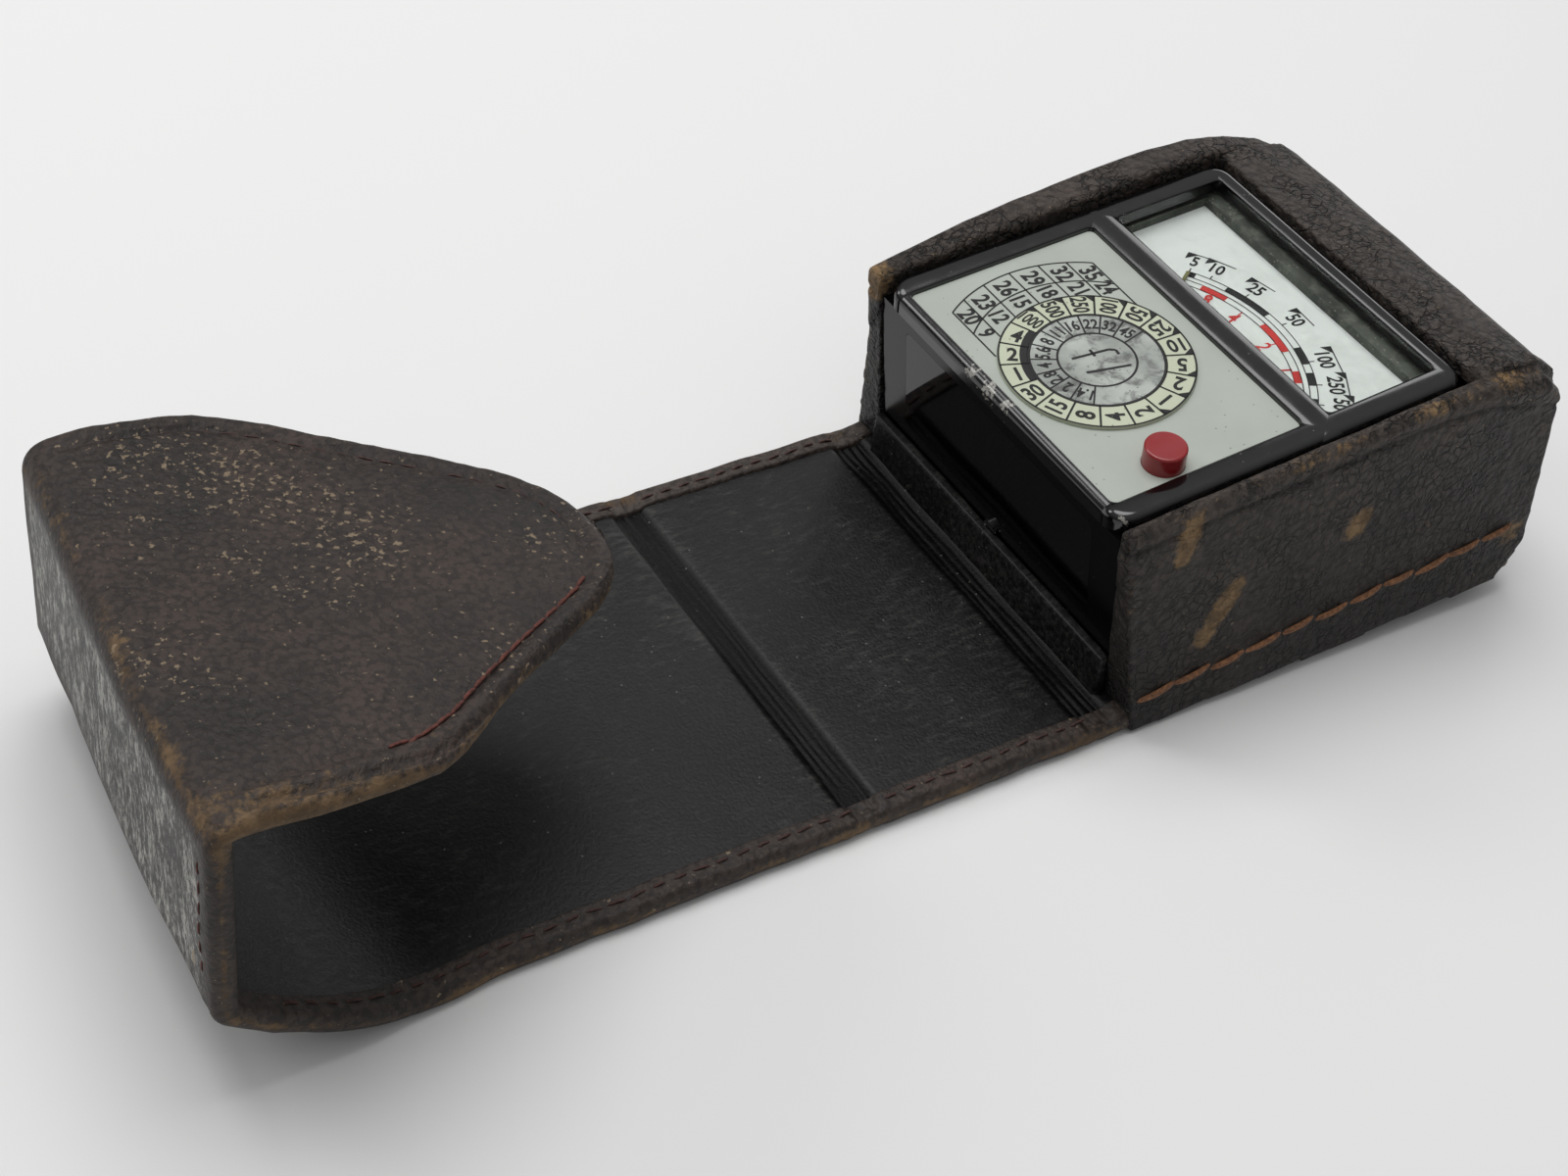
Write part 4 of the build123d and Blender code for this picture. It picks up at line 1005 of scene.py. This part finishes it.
near_rims = [(front_edge(0.3), 0.5, 2.1), (12, 0.6, 2.3), (36, 0.8, 2.6), (44, 0.7, 3.4), (54.0, -1.6, 4.4),
             (57.0, -4.8, 4.2)]
far_rims = [(front_edge(0.3), 1.2, 3.6), (0, 2.2, 5.0), (18, 2.5, 5.8), (32, 2.5, 5.9), (40, 2.2, 5.4),
            (46, 1.0, 4.7), (52, -0.8, 3.8), (56.5, -3.6, 2.8)]
overlap = [(43.2, 0.9), (54.5, -1.2), (58.6, -4.6), (REAR + 0.3, -9.0), (REAR - 1.8, -30.0)]
overlap_block = [(x, y, z + dz) for x, z in overlap for y in (-28.2, -25.4) for dz in (0.35, -1.6)]
near_blocks = wall_blocks(-1, near_rims) + [overlap_block]
near_wall = soft_solid("tray_near_wall", near_blocks, 0.42, 3, wall_leather)
far_wall = soft_solid("tray_far_wall", wall_blocks(1, far_rims), 0.42, 3, wall_leather)
hood_profile = [(42.8, 0.9), (49.0, 0.7), (54.8, -1.2), (58.4, -4.4),
                (REAR, -8.5), (57.0, base_line(56, -1.0))]
hood_blocks = []
for (x0, z0), (x1, z1) in zip(hood_profile, hood_profile[1:]):
    length = math.hypot(x1 - x0, z1 - z0)
    nx, nz = (z1 - z0) / length * 2.3, -(x1 - x0) / length * 2.3
    hood_blocks.append([(x, y, z) for x, z in ((x0, z0), (x1, z1), (x0 + nx, z0 + nz), (x1 + nx, z1 + nz))
                        for y in (-28.4, 28.4)])
hood = soft_solid("tray_hood", hood_blocks, 0.42, 3, wall_leather)


def deck_line(points, steps=40):
    """Points in the row frame, in millimetres, along a polyline given in deck axes."""
    made = []
    for p, q in zip(points, points[1:]):
        made += [np.array(deck(*(Vector(p).lerp(Vector(q), k / steps)))) / MM for k in range(steps + 1)]
    return made


wall_spots = [(np.array(deck(x, -wall_out(z), z)) / MM, radius, strength) for x, z, radius, strength in (
    (-6.0, -2.4, 1.9, 0.85), (-7.0, -4.8, 2.1, 0.9), (-7.6, -7.2, 1.6, 0.8), (1.8, -15.4, 2.0, 0.85),
    (0.5, -17.4, 1.8, 0.8), (-0.8, -19.2, 1.9, 0.85), (-3.0, -22.2, 2.1, 0.9), (22.2, -14.6, 2.2, 0.75),
    (24.0, -13.0, 1.4, 0.6), (35.0, -19.5, 2.6, 0.35), (53.8, -28.6, 2.6, 0.6), (11.4, -0.6, 3.0, 0.30),
    (32.9, 0.2, 3.0, 0.30), (47.0, -1.0, 4.0, 0.30), (56.0, -7.0, 4.0, 0.3))]
rust_spots = [(np.array(deck(-16.5, 29.2, -0.5)) / MM, 2.6, 0.75),
              (np.array(deck(-16.5, 29.4, -3)) / MM, 2.0, 0.5)]
for piece, sign, spots in ((near_wall, -1, wall_spots), (far_wall, 1, rust_spots), (hood, 0, [])):
    targets = []
    if sign:
        y = sign * (wall_out(0.3) - 0.3)
        targets += deck_line([(front_edge(0), y, 0.2), (43, y, 0.2), (55, y, -2.6), (58, sign * 31, -8)])
        targets += deck_line([(front_edge(0), y, 0.2), (front_edge(-30), sign * wall_out(-30), -30)])
    else:
        targets += deck_line([(57.5, -28, -5), (57.5, 28, -5)])
    points = corners(piece) / MM
    gap = nearest(points, targets)
    local = np.array([DECK.inverted() @ Vector(p * MM) for p in points]) / MM
    top_gap = np.abs(local[:, 2] - 0.5 + np.clip((local[:, 0] - 44) * 0.35, 0, 6))
    outside = np.abs(local[:, 1]) > INSIDE + 1.2
    crease = np.exp(-((top_gap - 3.2) / 0.45) ** 2) * outside
    moved_in = points - corners(piece, "normal") * (0.30 * crease)[:, None]
    piece.data.vertices.foreach_set("co", (moved_in * MM).ravel())
    # Painted light: the tops of the rolled rims and the whole hood are made paler where they face the light.
    tint = np.clip((3.2 - top_gap) / 0.6, 0, 1) * 0.6 if sign else np.full(len(points), 0.45)
    # Painted shade: darker towards the wall's foot, in the pressed crease below the rim and towards the
    # front.
    foot_shade = np.clip((-8 - local[:, 2]) / 22, 0, 1) * 0.55
    shade = foot_shade + 0.5 * crease + 0.3 * np.clip((-6 - local[:, 0]) / 8, 0, 1)
    leather_attributes(piece, gap + 0.5, spots, tint=tint, shade=np.clip(shade, 0, 0.9))
    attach(piece, "tray")
    print(piece.name, len(piece.data.polygons), "faces")
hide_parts("near_wall")
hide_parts("far_wall")
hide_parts("end_hood")

# %% [markdown]
# ## Lip and keeper strap
# The low lip in front of the meter is lining leather. The keeper strap lies flat under the tray and
# only its rough end shows.

# %% Make the lip and the strap
foot_x = front_edge(-30)
lip_profile = [(foot_x - 2.3, base_line(foot_x, 0.8)), (foot_x + 0.2, base_line(foot_x, 0.8)),
               (front_edge(-24.4) + 0.15, -24.6), (front_edge(-24.4) - 1.3, -24.6)]
lip_block = [(x, y, z) for x, z in lip_profile for y in (-INSIDE, INSIDE)]
lip = soft_solid("tray_lip", [lip_block], 0.3, 3, lining_leather, 0.12)
set_attribute(lip, "wear", np.full(len(lip.data.vertices), 0.12))
set_attribute(lip, "shade", np.zeros(len(lip.data.vertices)))
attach(lip, "tray")
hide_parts("front_lip")

strap_block = [(x, y, base_line(x, -STRIP / 2 + dz))
               for x in (16.2, 28.2) for y in (-33.7, 33.2) for dz in (0.3, -1.15)]
strap = soft_solid("tray_keeper", [strap_block], 0.35, 4, outer_leather, 0.45)
points = corners(strap) / MM
leather_attributes(strap, np.abs(points[:, 1] + 34.5) + 0.3, ())
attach(strap, "tray")
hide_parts("keeper_strap")
print("lip and strap made")

# %% [markdown]
# ## Stitches with Geometry Nodes
# One node tree serves every seam. It takes points that carry a direction each, puts a stitch on
# every point with a little random length and turn, and sets the thread's material.

# %% Build the stitch tree
stitch_tree = bpy.data.node_groups.new("stitch_row", "GeometryNodeTree")
sockets = {}
for label, kind, value in (("Geometry", "NodeSocketGeometry", None), ("Stitch", "NodeSocketObject", None),
                           ("Turn Jitter", "NodeSocketFloat", 0.08),
                           ("Length Jitter", "NodeSocketFloat", 0.15),
                           ("Seed", "NodeSocketInt", 3), ("Thread", "NodeSocketMaterial", None)):
    made = stitch_tree.interface.new_socket(label, in_out="INPUT", socket_type=kind)
    if value is not None:
        made.default_value = value
    sockets[label] = made.identifier
stitch_tree.interface.new_socket("Geometry", in_out="OUTPUT", socket_type="NodeSocketGeometry")
tree = stitch_tree
start = tree.nodes.new("NodeGroupInput")
end = tree.nodes.new("NodeGroupOutput")
source = add_node(tree, "GeometryNodeObjectInfo", {"Object": start.outputs["Stitch"]})
facing = add_node(tree, "GeometryNodeInputNamedAttribute", {"Name": "facing"}, data_type="FLOAT_VECTOR")
turn_low = math_node(tree, "MULTIPLY", start.outputs["Turn Jitter"], -1.0)
jitter = add_node(tree, "FunctionNodeRandomValue", {2: turn_low, 3: start.outputs["Turn Jitter"],
                                                    "Seed": start.outputs["Seed"]}, data_type="FLOAT")
turned = add_node(tree, "ShaderNodeCombineXYZ", {"Z": jitter.outputs[1]})
local = add_node(tree, "FunctionNodeEulerToRotation", {"Euler": turned.outputs[0]})
whole = add_node(tree, "FunctionNodeEulerToRotation", {"Euler": facing.outputs["Attribute"]})
rotated = add_node(tree, "FunctionNodeRotateRotation",
                   {"Rotation": whole.outputs[0], "Rotate By": local.outputs[0]}, rotation_space="LOCAL")
shorter = math_node(tree, "SUBTRACT", 1.0, start.outputs["Length Jitter"])
longer = math_node(tree, "ADD", 1.0, start.outputs["Length Jitter"])
next_seed = math_node(tree, "ADD", start.outputs["Seed"], 1.0)
size = add_node(tree, "FunctionNodeRandomValue", {2: shorter, 3: longer, "Seed": next_seed},
                data_type="FLOAT")
scale = add_node(tree, "ShaderNodeCombineXYZ", {"X": size.outputs[1], "Y": 1.0, "Z": 1.0})
placed = add_node(tree, "GeometryNodeInstanceOnPoints",
                  {"Points": start.outputs["Geometry"], "Instance": source.outputs["Geometry"],
                   "Rotation": rotated.outputs[0], "Scale": scale.outputs[0]})
real = add_node(tree, "GeometryNodeRealizeInstances", {"Geometry": placed.outputs[0]})
painted = add_node(tree, "GeometryNodeSetMaterial",
                   {"Geometry": real.outputs[0], "Material": start.outputs["Thread"]})
tree.links.new(painted.outputs[0], end.inputs[0])


def thread_unit(name, length, width, height):
    """One stitch along X: a bent capsule that dives into the leather at both ends."""
    verts, faces = [], []
    rings, sides = 9, 8
    for i in range(rings):
        f = i / (rings - 1) * 2 - 1
        swell = math.sqrt(max(0.0, 1 - abs(f) ** 3.0)) * 0.85 + 0.15
        for k in range(sides):
            angle = 2 * math.pi * k / sides
            verts.append((f * length / 2, math.cos(angle) * width / 2 * swell,
                          math.sin(angle) * height / 2 * swell + height * (0.35 - 0.75 * f * f)))
    for i in range(rings - 1):
        for k in range(sides):
            n = (k + 1) % sides
            faces.append((i * sides + k, i * sides + n, (i + 1) * sides + n, (i + 1) * sides + k))
    for ring, flip in ((0, False), (rings - 1, True)):
        middle_vert = len(verts)
        ring_points = [verts[ring * sides + k] for k in range(sides)]
        verts.append(tuple(sum(c) / sides for c in zip(*ring_points)))
        for k in range(sides):
            n = (k + 1) % sides
            tri = (ring * sides + n, ring * sides + k, middle_vert)
            faces.append(tri if not flip else tri[::-1])
    made = mesh_object(name, [Vector(v) * MM for v in verts], faces)
    made.hide_render = True
    made.hide_viewport = True
    return made


def stitch_row(name, places, unit, material, turn=0.08, length=0.15, seed=3):
    """places: (point in metres, direction of the thread, direction away from the leather)."""
    points = mesh_object(name + "_points", [p for p, _, _ in places], [], smooth=False)
    facing = points.data.attributes.new("facing", "FLOAT_VECTOR", "POINT")
    for k, (_, way, away) in enumerate(places):
        x = way.normalized()
        z = (away - x * away.dot(x)).normalized()
        y = z.cross(x)
        turn_matrix = Matrix((x, y, z)).transposed()
        facing.data[k].vector = turn_matrix.to_euler()
    sewn = points.modifiers.new("sewn", "NODES")
    sewn.node_group = stitch_tree
    for label, value in (("Stitch", unit), ("Turn Jitter", turn), ("Length Jitter", length), ("Seed", seed),
                         ("Thread", material)):
        sewn[sockets[label]] = value
    points.update_tag()
    unit.hide_viewport = False
    bpy.context.view_layer.update()
    result = evaluated_mesh(points)
    unit.hide_viewport = True
    bpy.data.objects.remove(points)
    made = linked(name, result)
    if not result.materials:
        result.materials.append(material)
    result.polygons.foreach_set("use_smooth", [True] * len(result.polygons))
    print(name, "stitches:", len(places))
    return made


long_stitch = thread_unit("unit_long", 6.8, 1.1, 0.66)
short_stitch = thread_unit("unit_short", 2.3, 0.42, 0.34)
tongue_stitch = thread_unit("unit_tongue", 3.1, 0.52, 0.40)
fine_stitch = thread_unit("unit_fine", 2.2, 0.30, 0.20)

# %% [markdown]
# ## Sew the seams
# The tray walls have long slanting rust-coloured stitches. The borders and the tongue have short
# ones, so dark that they show mostly as a line.

# %% Place every row of stitches
for sign, label in ((-1, "near"), (1, "far")):
    places = []
    step = 6.05  # between two long stitches
    for k in range(11):
        x = -10.2 + k * step
        z = -28.2 + 0.7 * x / 68 + 0.2 * math.sin(k * 2.1)
        lean = Vector((1, 0, 0.05 if k % 2 else 0.11))
        away = Vector((0, sign * math.cos(WALL_LEAN), math.sin(WALL_LEAN)))
        point = deck(x, sign * (wall_out(z) + 0.02), z)
        turn = DECK.to_3x3()
        places.append((point, turn @ lean, turn @ away))
    row = stitch_row("stitches_" + label + "_wall", places, long_stitch, rust_thread, 0.05, 0.10, 5)
    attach(row, "tray")


def seam_points(first, last, edge_at, step, near_side, lift, grid):
    """Evenly spaced places along the strip, a fixed distance in from one edge."""
    other_side = np.sign(ys) != (-1 if near_side else 1)
    j = int(np.argmin(np.abs((HALF_WIDTH - np.abs(ys)) - edge_at) + other_side * 99))
    path = grid[first:last + 1, j]
    out = inward[first:last + 1, j]
    lengths = np.concatenate([[0], np.cumsum(np.linalg.norm(np.diff(path, axis=0), axis=1))])
    places = []
    for s in np.arange(step / 2, lengths[-1] - step / 2, step):
        p = np.array([np.interp(s, lengths, path[:, c]) for c in range(3)])
        q = np.array([np.interp(s + 0.4, lengths, path[:, c]) for c in range(3)])
        n = np.array([np.interp(s, lengths, out[:, c]) for c in range(3)])
        places.append((Vector(p + n * lift) * MM, Vector(q - p), Vector(n if lift >= 0 else -n)))
    return places


fold_row_1 = int(np.argmin(np.abs(kinds)))
fold_row_2 = int(np.argmin(np.abs(kinds + FOLD_GAP)))
rows = [
    ("front_panel", fold_row_1 + 8, fold_row_2 - 8, "front_panel"),
    ("top_panel", fold_row_2 + 8, corner_start - 2, "top_panel"),
]
for label, first, last, body in rows:
    for near_side in (True, False):
        places = seam_points(first, last, 2.2, 3.0, near_side, 0.05, inner_grid)
        name = "stitches_" + label + ("_near" if near_side else "_far")
        row = stitch_row(name, places, short_stitch, dark_thread, 0.14, 0.2, 11)
        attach(row, body)

# The tongue's seam follows its outline, so it is found on the outline and moved in.
for near_side in (True, False):
    sign = -1 if near_side else 1
    x_start, x_end = (crown.x + 19, tip_x - 3.0) if near_side else (crown.x + 4, tip_x - 0.15)
    xs = np.linspace(x_start, x_end, 260)
    border = np.array([(x, sign * float(outline_half(x))) for x in xs])
    ahead = np.gradient(border, axis=0)
    ahead /= np.linalg.norm(ahead, axis=1)[:, None]
    normal = np.stack([ahead[:, 1], -ahead[:, 0]], 1) * sign
    seam = border + normal * 3.3
    lengths = np.concatenate([[0], np.cumsum(np.linalg.norm(np.diff(seam, axis=0), axis=1))])
    places = []
    for s in np.arange(1.5, lengths[-1] - 1.0, 2.75):
        p, q = (np.array([np.interp(s + d, lengths, seam[:, c]) for c in range(2)]) for d in (0, 0.5))
        a, b = tongue_point(*p), tongue_point(*q)
        places.append(((a + Vector((0.1, 0, 1.15 if near_side else 0.95))) * MM, b - a, Vector((0.12, 0, 1))))
    unit, thread = (tongue_stitch, red_thread) if near_side else (fine_stitch, dark_thread)
    name = "stitches_tongue" + ("_near" if near_side else "_far")
    row = stitch_row(name, places, unit, thread, 0.06, 0.12, 17)
    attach(row, "tongue")

# A short seam closes the cap's outer face beside its near edge.
places = seam_points(corner_start + 12, crown_start - 2, 2.7, 3.2, True, -0.02, outer_grid)
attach(stitch_row("stitches_end_wall", places, fine_stitch, red_thread, 0.05, 0.1, 23), "end_wall")

# %% [markdown]
# ## Printing on the dials
# A print is a flat mesh a hair above its surface: strokes, arcs and figures gathered in one list of
# triangles. Each print rides on the body it is printed on, so the ring's figures turn with the ring.


# %% Helpers for prints
class Print:
    """A flat drawing in deck axes, in millimetres, at one height."""

    def __init__(self, name, height, material, body):
        self.name, self.height, self.material, self.body = name, height, material, body
        self.verts, self.faces = [], []

    def polygon(self, points):
        first = len(self.verts)
        self.verts += [tuple(p) for p in points]
        self.faces.append(tuple(range(first, first + len(points))))

    def stroke(self, a, b, width):
        a, b = Vector(a), Vector(b)
        side = (b - a).normalized().orthogonal() * width / 2
        self.polygon([a - side, b - side, b + side, a + side])

    def arc(self, radius_in, radius_out, start, end, centre=(0, 0)):
        """A ring sector; angles in degrees, anticlockwise."""
        steps = max(2, int(abs(end - start) / 3))
        for k in range(steps):
            p, q = (math.radians(start + (end - start) * (k + d) / steps) for d in (0, 1))
            self.polygon([(centre[0] + r * math.cos(t), centre[1] + r * math.sin(t))
                          for r, t in ((radius_in, p), (radius_out, p), (radius_out, q), (radius_in, q))])

    def text(self, string, place, height, turn, bold=0.0, narrow=0.9):
        """Figures centred on a place; turn is the direction of the baseline in degrees."""
        curve = bpy.data.curves.new("figures", "FONT")
        curve.body = string
        curve.offset = bold
        curve.resolution_u = 3
        holder = linked("figures", curve)
        flat = evaluated_mesh(holder)
        bpy.data.objects.remove(holder)
        co = np.array([v.co[:2] for v in flat.vertices])
        low, high = co.min(0), co.max(0)
        factor = height / 0.69
        co = (co - (low + high) / 2) * factor
        co[:, 0] *= narrow
        c, s = math.cos(math.radians(turn)), math.sin(math.radians(turn))
        first = len(self.verts)
        for x, y in co:
            self.verts.append((place[0] + c * x - s * y, place[1] + s * x + c * y))
        for face in flat.polygons:
            self.faces.append(tuple(first + v for v in face.vertices))
        bpy.data.meshes.remove(flat)

    def finish(self):
        points = [deck(v[0], v[1], self.height) for v in self.verts]
        made = mesh_object(self.name, points, self.faces, self.material, smooth=False)
        bm = bmesh.new()
        bm.from_mesh(made.data)
        bm.normal_update()
        wrong = [f for f in bm.faces if f.normal.dot(deck_up) < 0]
        bmesh.ops.reverse_faces(bm, faces=wrong)
        bm.to_mesh(made.data)
        bm.free()
        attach(made, self.body)
        print(self.name, len(self.faces), "faces on", self.body)
        return made


def polar(radius, degrees, centre=(0, 0)):
    t = math.radians(degrees)
    return (centre[0] + radius * math.cos(t), centre[1] + radius * math.sin(t))


# %% [markdown]
# ## The film-speed table, the ring and the disc

# %% Print the face
R = 13.5
INK = 0.02
table_print = Print("print_table", INK, print_black, "tray")
for radius in (1.574 * R, 1.27 * R):
    limit = math.degrees(math.acos(min(1, 0.89 * R / radius)))
    limit_low = math.degrees(math.acos(max(-1, -0.84 * R / radius)))
    table_print.arc(radius - 0.13, radius + 0.13, limit, limit_low)
for x, foot in ((-0.84, 0.56), (-0.627, 0.79), (-0.317, 0.95), (0.023, 1.0), (0.36, 0.94), (0.65, 0.77),
                (0.89, 0.48)):
    table_print.stroke((x * R, foot * R), (x * R, math.sqrt(1.574 ** 2 - x * x) * R), 0.26)
mids = (-0.73, -0.472, -0.147, 0.19, 0.505, 0.77)
for x, upper, lower in zip(mids, ("20", "23", "26", "29", "32", "35"), ("9", "12", "15", "18", "21", "24")):
    table_print.text(upper, (x * R + 0.1, math.sqrt(1.41 ** 2 - x * x) * R - 0.2), 2.5, -90, 0.03, 0.82)
    low_y = math.sqrt(max(1.14 ** 2 - x * x, 0.8)) * R + 0.1
    table_print.text(lower, (x * R + 0.2, low_y), 2.4, -90, 0.03, 0.78)
table_print.finish()

ring_print = Print("print_ring", 0.5 + INK, print_black, "dial_ring")
ring_print.arc(13.5 - 0.28, 13.5, 0, 360)
ring_print.arc(9.22, 9.52, 0, 360)
ring_print.arc(9.45, 10.5, 116, 176)
times = [("1000", 106), ("500", 86), ("250", 66), ("100", 46), ("50", 26), ("25", 6), ("10", -14), ("5", -34),
         ("2", -54), ("1", -74), ("2", -94), ("4", -114), ("8", -134), ("15", -154), ("30", -174), ("1", 166),
         ("2", 146), ("4", 126)]
for k, (figure, angle) in enumerate(times):
    ring_print.stroke(polar(9.3, angle + 10), polar(13.4, angle + 10), 0.30)
    size, narrow = ((2.5, 0.85), (2.45, 0.78), (2.2, 0.70), (2.1, 0.60))[len(figure) - 1]
    ring_print.text(figure, polar(11.45, angle), size, angle + 180, 0.028, narrow)
    if k < 10:
        tip = [polar(13.4, angle - 10), polar(13.4, angle - 10 + 6), polar(12.0, angle - 10)]
        ring_print.polygon(tip)
ring_print.finish()

disc_print = Print("print_disc", 0.5 + INK, print_black, "aperture_disc")
disc_print.arc(0.388 * R, 0.412 * R, 0, 360)
disc_print.arc(9.05, 9.2, 0, 360)
stops = ("45", "32", "22", "16", "11", "8", "5.6", "4", "2.8", "2", "1.4")
for k, figure in enumerate(stops):
    angle = 21 + 20 * k
    disc_print.stroke(polar(0.405 * R, angle + 10), polar(9.1, angle + 10), 0.26)
    disc_print.text(figure, polar(0.545 * R, angle), 1.9, angle - 90, 0.028, 0.74)
disc_print.stroke(polar(0.405 * R, 11), polar(9.1, 11), 0.26)
for a, b in (((-0.22, 0.13), (0.19, 0.07)), ((-0.21, -0.11), (0.25, -0.23)), ((0.19, 0.07), (0.25, 0.03)),
             ((0.25, 0.03), (0.24, -0.04)), ((0.02, 0.16), (0.01, 0.05))):
    disc_print.stroke((a[0] * R, a[1] * R), (b[0] * R, b[1] * R), 0.42)
disc_print.finish()

# %% [markdown]
# ## The curved light scale
# The scale lies below the glass. Two bands of blocks curve round the needle's pivot, black outside
# and red inside, with figures beside them.

# %% Print the scale
PIVOT = (0.32 * R, -0.13 * R)
DEPTH = -3.65


def around(points):
    """Angle round the needle's pivot of a figure's place."""
    return math.degrees(math.atan2(points[1] * R - PIVOT[1], points[0] * R - PIVOT[0]))


black_scale = Print("print_scale_black", DEPTH + 2 * INK, print_black, "tray")
red_scale = Print("print_scale_red", DEPTH + 2 * INK, print_red, "tray")
for radius in (1.70, 1.78, 1.84, 1.92):
    black_scale.arc((radius - 0.006) * R, (radius + 0.006) * R, -41, 34, PIVOT)
black_marks = [("5", (2.076, 1.031)), ("10", (2.211, 0.811)), ("25", (2.364, 0.354)), ("50", (2.415, -0.238)),
               ("100", (2.279, -0.881)), ("250", (2.127, -1.237)), ("500", (1.958, -1.525))]
for figure, place in black_marks:
    angle = around(place)
    centre = (place[0] * R, place[1] * R)
    black_scale.text(figure, centre, 2.1, angle - 90, 0.025, 0.8)
    way = Vector((math.cos(math.radians(angle)), math.sin(math.radians(angle))))
    along_way = Vector((way.y, -way.x))
    half = 0.95 + 0.6 * len(figure)
    top = Vector(centre) + way * 1.6
    black_scale.stroke(top - along_way * half, top + along_way * half, 0.2)
    corner_in, corner_down = top - along_way * (half - 1.5), top - along_way * half - way * 1.5
    black_scale.polygon([top - along_way * half, corner_in, corner_down])
    black_scale.stroke(polar(1.92 * R, angle, PIVOT), polar(1.98 * R, angle, PIVOT), 0.2)
red_marks = (("8", (1.805, 0.473)), ("4", (1.866, 0.107)), ("2", (1.856, -0.407)), ("1", (1.805, -0.797)))
for figure, place in red_marks:
    angle = around(place)
    red_scale.text(figure, (place[0] * R, place[1] * R), 2.2, angle - 90, 0.02, 0.8)
    red_scale.stroke(polar(1.63 * R, angle, PIVOT), polar(1.70 * R, angle, PIVOT), 0.2)
for start_angle, end_angle in ((34, 31), (20, 3), (-14, -22), (-26, -32), (-38, -41)):
    black_scale.arc(1.84 * R, 1.92 * R, start_angle, end_angle, PIVOT)
for start_angle, end_angle in ((27, 17), (0, -15), (-25, -31), (-36, -41)):
    red_scale.arc(1.70 * R, 1.78 * R, start_angle, end_angle, PIVOT)
black_scale.finish()
red_scale.finish()

# %% [markdown]
# ## Floor, light and camera
# The object stands on a white sweep in soft, even light from above. The camera looks down on the
# near side from the cap's end.

# %% Set the stage
scene = bpy.context.scene
floor_paint, tree, shader, place = start_material("floor_paint")
set_inputs(tree, shader, {"Base Color": rgba(0.80, 0.80, 0.795), "Roughness": 0.7, "Specular IOR Level": 0.2})
floor = mesh_object("floor", [(-4, -4, 0), (4, -4, 0), (4, 4, 0), (-4, 4, 0)], [(0, 1, 2, 3)], floor_paint,
                    smooth=False)

world = bpy.data.worlds.new("soft_light")
scene.world = world
world.use_nodes = True
sky = world.node_tree.nodes["Background"]
sky.inputs["Color"].default_value = (0.99, 0.995, 1.0, 1.0)
height_up = add_node(world.node_tree, "ShaderNodeSeparateXYZ",
                     {0: world.node_tree.nodes.new("ShaderNodeTexCoord").outputs["Generated"]})
world.node_tree.links.new(map_range(world.node_tree, height_up.outputs["Z"], 0.1, 0.95, 0.14, 0.50),
                          sky.inputs["Strength"])


def area_light(name, place, target, size, watts):
    data = bpy.data.lights.new(name, "AREA")
    data.shape = "DISK"
    data.size = size
    data.energy = watts
    lamp = linked(name, data)
    lamp.location = place
    lamp.rotation_euler = (Vector(target) - Vector(place)).to_track_quat("-Z", "Y").to_euler()
    return lamp


area_light("overhead", (0.0, 0.22, 0.9), (0, 0.05, 0), 0.75, 5.3)
area_light("back", (-0.5, 0.7, 0.6), (0, 0, 0), 0.4, 1.6)
area_light("far_side", (0.66, 0.52, 0.28), (0.06, 0, 0.03), 0.36, 0.55)

scene.view_settings.view_transform = "Standard"
camera_data = bpy.data.cameras.new("camera")
camera_data.lens = 60.9
camera_data.sensor_width = 36
camera_data.clip_start = 0.01
camera = linked("camera", camera_data)
right = Vector((0.84553, -0.52074, 0.11793))
up = Vector((0.28553, 0.62763, 0.72425))
forward = Vector((0.45117, 0.57871, -0.67936))
turned = Matrix((right, up, -forward)).transposed().to_4x4()
camera.matrix_world = Matrix.Translation((-0.16328, -0.20372, 0.25086)) @ turned
scene.camera = camera
print("camera looks along", [round(v, 2) for v in forward])
